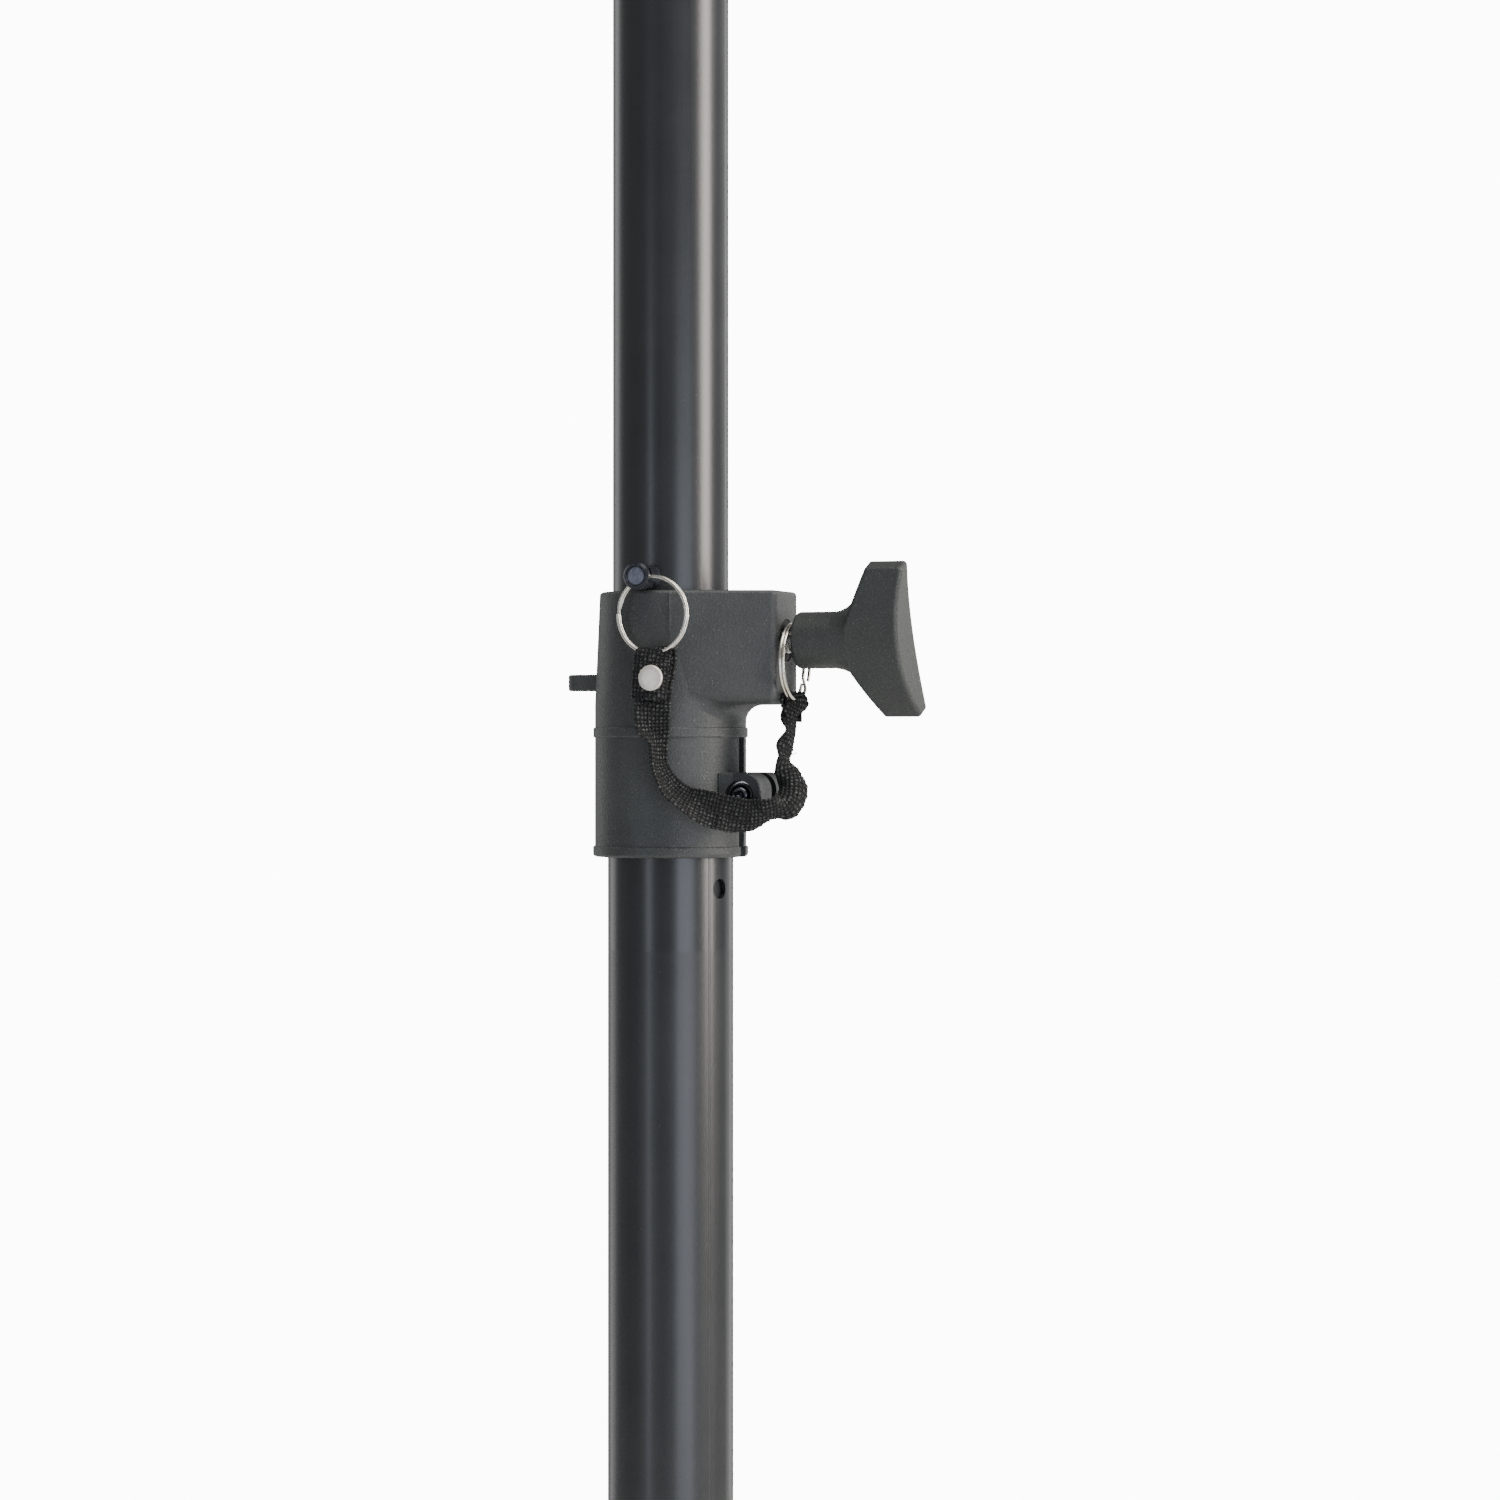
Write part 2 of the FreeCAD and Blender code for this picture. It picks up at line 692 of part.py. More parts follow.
def knob():
    axis = of("clamp_foot") + of("knob_level")
    screw, bevel = of("screw_size") / 2, 1.0
    tip, end = of("shoe_back") + FIT * 2, of("hub_start") + of("screw_grip")
    turned(
        "knob_screw",
        [(0, tip), (screw - bevel, tip), (screw, tip + bevel), (screw, end), (0, end)],
        (0, 0, axis), ALONG_X,
    )
    body = new_body("knob_handle", (0, 0, axis), Rotation(Vector(1, 0, 0), KNOB_TURN))
    outline = new_sketch(body, "wing_side", "XZ_Plane")
    inner, outer, span = of("wing_inner"), of("wing_outer"), of("wing_span") / 2
    root, root_half = of("hub_end") - of("wing_root_overlap"), of("wing_root")
    corners = [
        (outer, -span), (outer, span), (inner, span), (root, root_half), (root, -root_half), (inner, -span),
    ]
    dish = SIZES["wing_outer"] - SIZES["wing_dish"]
    top, bottom = Vector(outer.number, span.number, 0), Vector(outer.number, -span.number, 0)
    outline.addGeometry(Part.Arc(bottom, Vector(dish, 0, 0), top))
    for (x1, y1), (x2, y2) in zip(corners[1:], corners[2:] + corners[:1]):
        outline.addGeometry(
            Part.LineSegment(Vector(x1.number, y1.number, 0), Vector(x2.number, y2.number, 0))
        )
    for number in range(1, 5):
        outline.addConstraint(Sketcher.Constraint("Coincident", number, 2, number + 1, 1))
    for number in range(1, 6):
        pin_corner(outline, number, 1, *corners[number])
    pin_corner(outline, 5, 2, *corners[0])
    arc_ends = {outline.getPoint(0, end).y > 0: end for end in (1, 2)}
    outline.addConstraint(Sketcher.Constraint("Coincident", 0, arc_ends[True], 1, 1))
    outline.addConstraint(Sketcher.Constraint("Coincident", 0, arc_ends[False], 5, 2))
    radius = (span.number**2 + SIZES["wing_dish"] ** 2) / (2 * SIZES["wing_dish"])
    outline.addConstraint(Sketcher.Constraint("Radius", 0, radius))
    through_both_ways(body, "PartDesign::Pad", outline, "wings", of("wing_blank"))

    # what lies outside a slender lens, seen along the knob's axis, is cut away from the wings
    lens = new_sketch(body, "wing_plan", "YZ_Plane")
    wide, high = of("wing_middle") + 4.0, of("wing_span") / 2 + 6.0
    polygon(lens, [(-wide, -high), (wide, -high), (wide, high), (-wide, high)])
    tip, middle = SIZES["wing_tip"] / 2, SIZES["wing_middle"] / 2
    past = SIZES["wing_span"] / 2 + 2.0
    for side in (-1, 1):
        ends = [Vector(side * tip, up * past, 0) for up in (-1, 1)]
        lens.addGeometry(Part.Arc(ends[0], Vector(side * middle, 0, 0), ends[1]))
    for up in (-1, 1):
        lens.addGeometry(Part.LineSegment(Vector(-tip, up * past, 0), Vector(tip, up * past, 0)))
    for arc in (4, 5):
        lens.addConstraint(Sketcher.Constraint("Block", arc))
    for line in (6, 7):
        lens.addConstraint(Sketcher.Constraint("Block", line))
    through_both_ways(body, "PartDesign::Pocket", lens, "wing_shaping", 200.0)
    round_edges(body, "wing_round", 1.3, lambda edge: edge.BoundBox.XMax > SIZES["hub_end"] + 1.0)

    hub = new_sketch(body, "hub_outline", "YZ_Plane", of("hub_start"))
    hub.addGeometry(Part.Circle(Vector(), Vector(0, 0, 1), SIZES["hub_size"] / 2))
    hub.addConstraint(Sketcher.Constraint("Coincident", 0, 3, -1, 1))
    bound_radius(hub, 0, of("hub_size") / 2)
    pad = body.newObject("PartDesign::Pad", "hub")
    pad.Profile = hub
    pad.setExpression("Length", (of("hub_end") - of("hub_start")).text)

    # the hub swells along the wings until it meets their sloping backs
    sections = []
    for number, (back, half_height, half_width) in enumerate(HUB_SWELL):
        section = new_sketch(body, f"swell_{number}", "YZ_Plane", of("hub_end") - back)
        high, wide = Vector(0, half_height, 0), Vector(half_width, 0, 0)
        section.addGeometry(Part.Ellipse(high, wide, Vector()))
        section.addConstraint(Sketcher.Constraint("Block", 0))
        sections.append(section)
    swell = body.newObject("PartDesign::AdditiveLoft", "hub_swell")
    swell.Profile = sections[0]
    swell.Sections = sections[1:]

    def hub_mouth(edge):
        return edge.BoundBox.XMax < SIZES["hub_start"] + 0.01

    round_edges(body, "hub_round", 1.2, hub_mouth)
    mouth = of("hub_start") - 1.0
    drill(body, "screw_seat", screw, end - mouth, (mouth, 0, 0), ALONG_X)


# ---------------------------------------------------------------- pin and lanyard


def locking_pin():
    radius, rim = of("pin_size") / 2, of("pin_rim") / 2
    out, inside = of("pin_out"), -of("pin_in")
    step = out - of("pin_rim_length")
    body = turned(
        "locking_pin",
        [
            (0, inside), (radius - 1.2, inside), (radius, inside + 1.8), (radius, step - 0.3),
            (rim, step), (rim, out - 0.5), (rim - 0.5, out), (radius - 0.6, out),
            (radius - 0.9, out - 0.4), (0, out - 0.4),
        ],
        (0, 0, of("clamp_foot") + of("pin_level")), ALONG_FRONT,
    )
    twist = Rotation(Vector(0, 0, 1), PIN_TWIST)
    start = twist.multVec(Vector(-rim.number * 2, 0, 0))
    along = twist.multiply(ALONG_X)
    drill(body, "ring_hole", of("ring_hole") / 2, rim * 4, (start.x, start.y, of("pin_ring_out")), along)


def pin_ring_drop():
    """How far the middle of the pin's ring hangs below the pin's axis."""
    return of("pin_ring_hang") * math.cos(math.radians(PIN_TWIST))


def ring(label, at, turn):
    """A closed ring of the split ring's size; its own Z is the ring's axis."""
    loop = document.addObject("Part::Torus", label)
    loop.Label = label
    loop.setExpression("Radius1", (of("ring_size") / 2).text)
    loop.setExpression("Radius2", (of("ring_wire") / 2).text)
    place(loop, at, turn)


def rings():
    foot = of("clamp_foot")
    across = of("pin_ring_hang") * math.sin(math.radians(PIN_TWIST))
    ring("pin_ring", (across, -of("pin_ring_out"), foot + of("pin_level") - pin_ring_drop()), ALONG_FRONT)
    knob_ring_level = foot + of("knob_level") - of("knob_ring_drop")
    ring("knob_ring", (of("knob_ring_reach"), 0, knob_ring_level), ALONG_X)


def lanyard_loop():
    """The doubled and riveted end of the webbing, hanging from the pin's ring."""
    foot = of("clamp_foot")
    ring_foot = of("pin_level") - pin_ring_drop() - of("ring_size") / 2 - of("ring_wire") / 2
    across, out, fold = of("webbing_across"), of("webbing_out"), of("webbing_fold")
    body = new_body("lanyard_loop", (across, fold - out, foot))
    outline = new_sketch(body, "loop_outline", "XZ_Plane")
    half = of("webbing_width") / 2
    low, high = of("webbing_foot"), ring_foot - 0.2
    polygon(outline, [(-half, low), (half, low), (half, high), (-half, high)])
    pad = body.newObject("PartDesign::Pad", "loop_fold")
    pad.Profile = outline
    pad.setExpression("Length", fold.text)
    level_of_rivet = of("lanyard_rivet_level")
    shank, head, dome = (
        of("lanyard_rivet_shank") / 2, of("lanyard_rivet_head") / 2, of("lanyard_rivet_dome")
    )
    drill(body, "loop_rivet_hole", shank, fold * 6, (0, fold * 3, level_of_rivet), ALONG_FRONT)
    at = (across, 0, foot + level_of_rivet)
    back, front = out - fold, out + SKIN
    turned(
        "lanyard_rivet",
        [
            (0, back), (shank, back), (shank, front), (head, front), (head, out + dome * 0.3),
            (head - 0.65, out + dome * 0.77), (0, out + dome),
        ],
        at, ALONG_FRONT,
    )
    turned(
        "lanyard_rivet_back",
        [(0, back - 1.0), (head - 1.05, back - 0.8), (head - 0.25, back - SKIN), (0, back - SKIN)],
        at, ALONG_FRONT,
    )


# The webbing's route from the foot of its riveted end, round under the clamp's ears and up to the
# knob's ring, as heights above the clamp's lower rim.
WEBBING_ROUTE = [
    (4.8, -26.0, 33.2),
    (9.0, -26.6, 25.5),
    (15.5, -25.4, 18.6),
    (24.0, -21.6, 13.9),
    (33.0, -17.0, 11.6),
    (40.4, -11.0, 12.4),
    (43.2, -5.6, 18.6),
    (41.2, -3.6, 26.4),
    (38.6, -2.6, 34.0),
    (39.3, -0.4, 44.8),
]


def rounded_route(points):
    """Straight runs through the points, joined by arcs as large as the runs allow."""
    runs = [(after - before).Length for before, after in zip(points, points[1:])]
    edges = []
    start = points[0]
    for before, corner, after, run_in, run_out in zip(points, points[1:], points[2:], runs, runs[1:]):
        come = (corner - before).normalize()
        go = (after - corner).normalize()
        trim = 0.45 * min(run_in, run_out)
        half_turn = come.getAngle(go) / 2
        arc_start, arc_end = corner - come * trim, corner + go * trim
        inward = (go - come).normalize()
        radius = trim / math.tan(half_turn)
        middle = corner + inward * (radius / math.cos(half_turn) - radius)
        edges.append(Part.LineSegment(start, arc_start).toShape())
        edges.append(Part.Arc(arc_start, middle, arc_end).toShape())
        print(f"webbing bend radius {radius:.1f} mm")
        start = arc_end
    edges.append(Part.LineSegment(start, points[-1]).toShape())
    return Part.Wire(edges)


def lanyard_tail():
    foot = SIZES["clamp_foot"]
    points = [Vector(x, y, z) for x, y, z in WEBBING_ROUTE]
    wire = rounded_route(points)
    direction = (points[1] - points[0]).normalize()
    circle = Part.Wire([Part.Circle(points[0], direction, SIZES["webbing_cord"] / 2).toShape()])
    solid = wire.makePipeShell([circle], True, False)
    tail = document.addObject("Part::Feature", "lanyard_tail")
    tail.Label = "lanyard_tail"
    tail.Shape = solid
    tail.Placement = Placement(Vector(0, 0, foot), UPRIGHT)
    expected = math.pi * (SIZES["webbing_cord"] / 2) ** 2 * wire.Length
    print(f"webbing tail {wire.Length:.1f} mm long, volume {solid.Volume:.0f}, expected {expected:.0f}")


lower_tube()
upper_tube()
base_fitting()
upper_tube_ends()
clamp_housing()
clamp_fittings()
brake_shoe()
knob()
locking_pin()
rings()
lanyard_loop()
lanyard_tail()
document.recompute()

broken = [
    item.Label for item in document.Objects if any(word in item.State for word in ("Invalid", "Error"))
]
if broken:
    raise RuntimeError(f"these did not build: {broken}")

SUB_PART_TYPES = ("PartDesign::Body", "Part::Torus", "Part::Feature")
os.makedirs("parts", exist_ok=True)
for item in document.Objects:
    if item.TypeId not in SUB_PART_TYPES or item.Label == "boss_form":
        continue
    if item.Shape.isNull() or not item.Shape.isValid() or not item.Shape.Solids:
        raise RuntimeError(f"{item.Label} has no valid solid")
    item.Shape.exportStep(f"parts/{item.Label}.step")
    print(f"{item.Label}: {item.Shape.Volume / 1000:.2f} cm3")
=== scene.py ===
"""The looks of the telescopic speaker pole: its webbing, split rings, rivet, clamp bolt, threads
and every finish.

Metres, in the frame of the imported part: +Z up the pole, +X towards the knob, -Y the way the
locking pin is pulled out.
"""

import math
import random
from bisect import bisect_right

import bpy
from mathutils import Matrix, Vector


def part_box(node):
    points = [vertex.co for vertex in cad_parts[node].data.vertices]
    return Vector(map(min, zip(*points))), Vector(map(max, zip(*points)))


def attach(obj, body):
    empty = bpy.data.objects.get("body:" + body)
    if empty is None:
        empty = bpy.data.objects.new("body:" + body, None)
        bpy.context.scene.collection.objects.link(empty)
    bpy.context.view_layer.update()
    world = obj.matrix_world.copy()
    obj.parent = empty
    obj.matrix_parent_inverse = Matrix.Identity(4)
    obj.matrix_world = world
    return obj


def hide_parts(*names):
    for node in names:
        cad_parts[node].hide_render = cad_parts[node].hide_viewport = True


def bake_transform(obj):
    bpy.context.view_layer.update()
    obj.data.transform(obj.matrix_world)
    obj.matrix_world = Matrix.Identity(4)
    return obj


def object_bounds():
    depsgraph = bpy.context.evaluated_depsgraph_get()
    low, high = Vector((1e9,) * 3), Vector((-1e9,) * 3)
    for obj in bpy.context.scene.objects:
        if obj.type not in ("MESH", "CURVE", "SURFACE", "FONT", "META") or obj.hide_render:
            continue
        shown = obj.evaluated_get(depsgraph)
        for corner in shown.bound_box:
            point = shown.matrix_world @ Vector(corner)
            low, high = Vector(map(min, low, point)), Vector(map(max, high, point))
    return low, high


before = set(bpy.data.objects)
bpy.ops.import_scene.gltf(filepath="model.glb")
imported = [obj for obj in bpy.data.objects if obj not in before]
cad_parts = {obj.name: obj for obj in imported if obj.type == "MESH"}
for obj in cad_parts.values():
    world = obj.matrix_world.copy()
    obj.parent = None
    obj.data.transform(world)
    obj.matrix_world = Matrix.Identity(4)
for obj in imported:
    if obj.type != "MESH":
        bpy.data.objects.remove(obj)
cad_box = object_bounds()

MM = 0.001
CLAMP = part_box("clamp_housing")[0].z  # height of the clamp's lower rim
VIEW_TURN = math.radians(20)  # how far to the knob's side of -Y the camera stands
RIGHT = Vector((math.cos(VIEW_TURN), math.sin(VIEW_TURN), 0))
NEAR = Vector((math.sin(VIEW_TURN), -math.cos(VIEW_TURN), 0))
UP = Vector((0, 0, 1))


def shown(name, data):
    """A new object in the scene."""
    item = bpy.data.objects.new(name, data)
    bpy.context.scene.collection.objects.link(item)
    return item


def new_mesh(name, points, faces):
    """A new smooth-shaded mesh object."""
    mesh = bpy.data.meshes.new(name)
    mesh.from_pydata([tuple(point) for point in points], [], faces)
    mesh.validate()
    mesh.update()
    for polygon in mesh.polygons:
        polygon.use_smooth = True
    return shown(name, mesh)


def eased(share):
    """A share held between 0 and 1, so that it starts and ends gently."""
    share = min(max(share, 0), 1)
    return share * share * (3 - 2 * share)


def end_faces(sides, levels):
    """The two faces that close the ends of a stack of equal rings of points."""
    return [tuple(reversed(range(sides))), tuple(range((levels - 1) * sides, levels * sides))]


def ring_faces(sides, levels):
    """The faces between each ring of a stack of equal rings of points and the next one."""
    faces = []
    for level in range(levels - 1):
        a, b = level * sides, (level + 1) * sides
        for side in range(sides):
            after = (side + 1) % sides
            faces.append((a + side, a + after, b + after, b + side))
    return faces


# ---------------------------------------------------------------- camera

CAMERA_DISTANCE = 1.21
CAMERA_ACROSS = 0.024  # to the right of the pole
CAMERA_HEIGHT = 0.0322  # above the clamp's lower rim
LENS = 96

camera = shown("camera", bpy.data.cameras.new("camera"))
camera.data.lens = LENS
camera.location = NEAR * CAMERA_DISTANCE + RIGHT * CAMERA_ACROSS + UP * (CLAMP + CAMERA_HEIGHT)
camera.rotation_euler = (math.pi / 2, 0, VIEW_TURN)
bpy.context.scene.camera = camera

# ---------------------------------------------------------------- lanyard

# The webbing from its cut end below the rivet, up in front, over the pin's ring and down behind.
FOLD_ROUTE = [
    (0.0038, -0.0283, 0.4272),
    (0.0043, -0.0280, 0.4335),
    (0.0048, -0.0282, 0.4375),
    (0.0052, -0.0283, 0.4409),
    (0.0054, -0.0260, 0.4427),
    (0.0056, -0.0239, 0.4409),
    (0.0057, -0.0250, 0.4370),
    (0.0050, -0.0262, 0.4320),
    (0.0045, -0.0268, 0.4255),
    (0.0041, -0.0266, 0.4195),
]
# From the foot of the riveted fold, round under the clamp's ears and up to the knob's ring.
WEBBING_ROUTE = [
    (0.0047, -0.0264, 0.4136),
    (0.0050, -0.0268, 0.4062),
    (0.0114, -0.0261, 0.3975),
    (0.0236, -0.0218, 0.3939),
    (0.0315, -0.0176, 0.3921),
    (0.0382, -0.0136, 0.3937),
    (0.0422, -0.0098, 0.3962),
    (0.0424, -0.0066, 0.4014),
    (0.0410, -0.0054, 0.4062),
    (0.0388, -0.0046, 0.4092),
    (0.0394, -0.0040, 0.4124),
    (0.0402, -0.0024, 0.4168),
    (0.0394, -0.0008, 0.4220),
]
# Over the foot of the knob's ring and a little way down again.
END_ROUTE = [
    (0.0416, 0.0002, 0.4264),
    (0.0395, 0.0002, 0.4300),
    (0.0374, 0.0000, 0.4264),
    (0.0376, -0.0008, 0.4210),
]
# How the webbing's width lies at each point of the route, as parts of right, up and near,
# and how far it curls across its width, in radians each side of the middle.
FOLD_LIE = [
    ((1, 0.02, 0.1), 0.50),
    ((1, 0, 0), 0.35),
    ((1, 0.06, 0), 0.30),
    ((1, 0.10, 0), 0.22),
    ((1, 0.12, 0), 0.20),
    ((1, 0, 0), 0.15),
    ((1, 0.04, 0), 0.15),
    ((1, 0.06, 0), 0.10),
    ((1, 0.05, -0.05), 0.15),
    ((0.97, 0.05, -0.25), 0.35),
]
WEBBING_LIE = [
    ((0.46, 0.15, -0.88), 0.90),
    ((0.34, 0.32, -0.88), 0.80),
    ((0.42, 0.50, -0.76), 0.65),
    ((0.42, 0.90, -0.12), 0.15),
    ((0.18, 0.90, 0.38), -0.35),
    ((-0.15, 0.55, 0.82), -0.60),
    ((-0.90, 0.35, 0.30), -1.10),
    ((-1, 0.05, 0.15), -1.20),
    ((-0.80, -0.10, 0.60), -1.20),
    ((-0.20, 0, 0.98), -0.60),
    ((-0.46, 0, 0.89), -0.90),
    ((-0.18, 0, 0.98), -0.50),
    ((-0.42, 0, 0.90), -0.90),
]
END_LIE = [
    ((-0.66, 0, 0.75), -0.40),
    ((-0.66, 0, 0.75), -0.35),
    ((-0.62, 0, 0.78), -0.50),
    ((-0.50, 0, 0.85), -1.10),
]
WEBBING_WIDTH = 10.7 * MM
WEBBING_THICKNESS = 0.70 * MM
EDGE_THICKNESS = 0.45  # at the webbing's edges, as a part of its thickness
WEAVE_PITCH = 1.18 * MM  # from one cross rib to the next
WEAVE_COLUMNS = 9
WEAVE_STEPS = 5  # mesh steps in each cell of the weave
WEAVE_RELIEF = 0.36 * MM
LOW_KNOT = 0.55  # height of every other knot of the weave, as a part of the tall ones'
KNOT_FULLNESS = 0.6  # the power that rounds a knot; less makes it fuller
EDGE_SQUARENESS = 6  # the power that thins the webbing's edges; more keeps it to the very edge
RIB_SLIP = 0.10 * MM
EDGE_FRAY = 0.10 * MM
KNOT_SPREAD = (0.75, 1.25)  # how unevenly high the knots are
STRAIGHT_CURL = 1e-3  # a curl so small that the webbing counts as flat across
LINE_STEPS = 24  # points on each span of a route's smooth line


def smooth_line(points):
    """The points of a smooth curve with the given control points."""
    curve = bpy.data.curves.new("route", "CURVE")
    curve.dimensions = "3D"
    curve.resolution_u = LINE_STEPS
    spline = curve.splines.new("NURBS")
    spline.points.add(len(points) - 1)
    for control, point in zip(spline.points, points):
        control.co = (*point, 1)
    spline.order_u = 3
    spline.use_endpoint_u = True
    holder = bpy.data.objects.new("route", curve)
    mesh = bpy.data.meshes.new_from_object(holder)
    line = [vertex.co.copy() for vertex in mesh.vertices]
    bpy.data.objects.remove(holder)
    bpy.data.curves.remove(curve)
    bpy.data.meshes.remove(mesh)
    return line


class Strip:
    """The webbing's middle line, with the lie of its width at every distance along it."""

    def __init__(self, route, lie):
        points = [Vector(point) for point in route]
        self.line = smooth_line(points)
        self.reach = [0.0]
        for before, after in zip(self.line, self.line[1:]):
            self.reach.append(self.reach[-1] + (after - before).length)
        self.keys = []
        for point, ((right, up, near), curl) in zip(points, lie):
            width = (RIGHT * right + UP * up + NEAR * near).normalized()
            self.keys.append((self.distance_to(point), width, curl))

    def distance_to(self, point):
        """How far along the line its nearest place to the point is."""
        nearest = min(range(len(self.line)), key=lambda n: (self.line[n] - point).length)
        return self.reach[nearest]

    def at(self, distance):
        """Place, direction, width direction and curl at a distance along the line."""
        last = len(self.reach) - 2
        n = min(max(bisect_right(self.reach, distance) - 1, 0), last)
        step = self.reach[n + 1] - self.reach[n]
        share = (distance - self.reach[n]) / step
        place = self.line[n].lerp(self.line[n + 1], share)
        ahead = self.line[min(n + 2, last + 1)] - self.line[max(n - 1, 0)]
        along = ahead.normalized()
        number = sum(1 for key in self.keys[1:-1] if key[0] <= distance)
        start, width_a, curl_a = self.keys[number]
        end, width_b, curl_b = self.keys[number + 1]
        share = eased((distance - start) / max(end - start, 1e-9))
        width = width_a.lerp(width_b, share)
        width = (width - along * width.dot(along)).normalized()
        return place, along, width, curl_a + (curl_b - curl_a) * share


def slip(distance, across, seed):
    """How far a woven cell has slid along the webbing, so that its ribs waver."""
    slow = math.sin(distance * 0.9 / MM + seed) + math.sin(distance * 0.37 / MM + across * 0.5 / MM)
    return slow * RIB_SLIP


def weave_height(row, column, up_side):
    """Height of the woven surface in the cell of the weave, from 0 in the grooves to 1."""
    row_part, column_part = row % WEAVE_STEPS, column % WEAVE_STEPS
    bulge = math.sin(math.pi * row_part / WEAVE_STEPS) * math.sin(math.pi * column_part / WEAVE_STEPS)
    odd = (row // WEAVE_STEPS + column // WEAVE_STEPS + up_side) % 2
    return bulge**KNOT_FULLNESS * (1.0 if odd else LOW_KNOT)


def strip_faces(rows, columns):
    """Faces of a closed strip; each of its rows has the points of one side and then of the other."""
    under = columns + 1  # from a point's number to that of the one on the other side
    ring = 2 * under
    faces = []
    for row in range(rows):
        a, b = row * ring, (row + 1) * ring
        for column in range(columns):
            c, d = a + under + column, b + under + column
            faces.append((a + column, a + column + 1, b + column + 1, b + column))
            faces.append((c + 1, c, d, d + 1))
        faces.append((a + under, a, b, b + under))
        faces.append((a + columns, a + under + columns, b + under + columns, b + columns))
    for row, flip in ((0, True), (rows, False)):
        a = row * ring
        for column in range(columns):
            face = (a + column, a + column + 1, a + under + column + 1, a + under + column)
            faces.append(tuple(reversed(face)) if flip else face)
    return faces


def webbing(name, strip, start, end, seed, loose=()):
    """One length of the webbing as a closed woven strip, from start to end along its line."""
    chance = random.Random(seed)
    step = WEAVE_PITCH / WEAVE_STEPS
    first, last = round(start / step), round(end / step)
    columns = WEAVE_COLUMNS * WEAVE_STEPS
    points, places = [], []
    for row in range(first, last + 1):
        distance = min(row * step, strip.reach[-1])
        place, along, width, curl = strip.at(distance)
        normal = along.cross(width)
        frayed = chance.uniform(-1, 1) * EDGE_FRAY
        for side in (1, 0):
            for column in range(columns + 1):
                across = (column / columns - 0.5) * WEBBING_WIDTH
                if column in (0, columns):
                    across += math.copysign(frayed, across)
                bend = curl * 2 * across / WEBBING_WIDTH
                radius = WEBBING_WIDTH / 2 / curl if abs(curl) > STRAIGHT_CURL else 0
                sideways = math.sin(bend) * radius if radius else across
                lift = (1 - math.cos(bend)) * radius
                out = normal * math.cos(bend) - width * math.sin(bend)
                edge = 1 - (2 * abs(across) / WEBBING_WIDTH) ** EDGE_SQUARENESS
                thick = WEBBING_THICKNESS / 2 * (EDGE_THICKNESS + (1 - EDGE_THICKNESS) * edge)
                thick += weave_height(row, column, side) * WEAVE_RELIEF * chance.uniform(*KNOT_SPREAD)
                middle = place + width * sideways + normal * lift + along * slip(distance, across, seed)
                points.append(middle + out * (thick if side else -thick))
                places.append((row / WEAVE_STEPS, column / WEAVE_STEPS))
    faces = strip_faces(last - first, columns)
    for thread_points, thread_faces in loose:
        base = len(points)
        points += thread_points
        places += [(0.5, 0.5)] * len(thread_points)
        faces += [tuple(base + corner for corner in face) for face in thread_faces]
    piece = new_mesh(name, points, faces)
    layer = piece.data.uv_layers.new(name="weave")
    for loop in piece.data.loops:
        layer.data[loop.index].uv = places[loop.vertex_index]
    return piece


# Loose threads that stick out of the webbing's crumpled part.
FRAYED_THREADS = [
    [
        (0.0384, -0.0034, 0.4124), (0.0367, -0.0056, 0.4110),
        (0.0358, -0.0059, 0.4080), (0.0354, -0.0060, 0.4044),
    ],
    [
        (0.0382, -0.0034, 0.4112), (0.0369, -0.0053, 0.4104),
        (0.0366, -0.0056, 0.4072), (0.0359, -0.0059, 0.4056),
    ],
    [(0.0392, -0.0015, 0.4114), (0.0404, -0.0030, 0.4104), (0.0416, -0.0034, 0.4116)],
]
THREAD_HALF = 0.13 * MM
THREAD_CORNERS = 6
THREAD_SPACING = 4  # a loose thread has a ring of corners at every fourth point of its line


def loose_thread(route):
    """Points and faces of one thin round thread."""
    line = smooth_line(route)[::THREAD_SPACING]
    points = []
    for number, point in enumerate(line):
        ahead = line[min(number + 1, len(line) - 1)] - line[max(number - 1, 0)]
        across = ahead.cross(NEAR).normalized()
        out = ahead.normalized().cross(across)
        for side in range(THREAD_CORNERS):
            turn = 2 * math.pi * side / THREAD_CORNERS
            points.append(point + (across * math.cos(turn) + out * math.sin(turn)) * THREAD_HALF)
    levels = len(line)
    return points, ring_faces(THREAD_CORNERS, levels) + end_faces(THREAD_CORNERS, levels)


strip = Strip(FOLD_ROUTE + WEBBING_ROUTE + END_ROUTE, FOLD_LIE + WEBBING_LIE + END_LIE)
webbing_end = strip.reach[-1]
junction = strip.distance_to(Vector(WEBBING_ROUTE[3]))
junction = round(junction / WEAVE_PITCH) * WEAVE_PITCH
lanyard_pin_end = webbing("lanyard_pin_end", strip, 0, junction, seed=5)
loose_threads = [loose_thread(route) for route in FRAYED_THREADS]
lanyard_knob_end = webbing(
    "lanyard_knob_end", strip, junction, webbing_end, seed=6, loose=loose_threads
)
tail_line = [strip.at(junction)[0]] + [
    point for point, reach in zip(strip.line, strip.reach) if reach > junction
]

# ---------------------------------------------------------------- split rings and rivet

RING_TURN_STEPS = 96
WIRE_HALF_DEPTH = 0.48 * MM
WIRE_HALF_HEIGHT = 0.52 * MM
WIRE_SIDES = 12
WIRE_FLATNESS = 0.85  # 1 is a round wire, less is squarer
TURN_GAP = 0.01 * MM  # from the middle plane to each of the two turns
RING_JOG = math.radians(30)
RING_END_GAP = math.radians(6)  # between the wire's two ends
RING_SHY = 0.20 * MM  # how much smaller than the plain ring it stands for


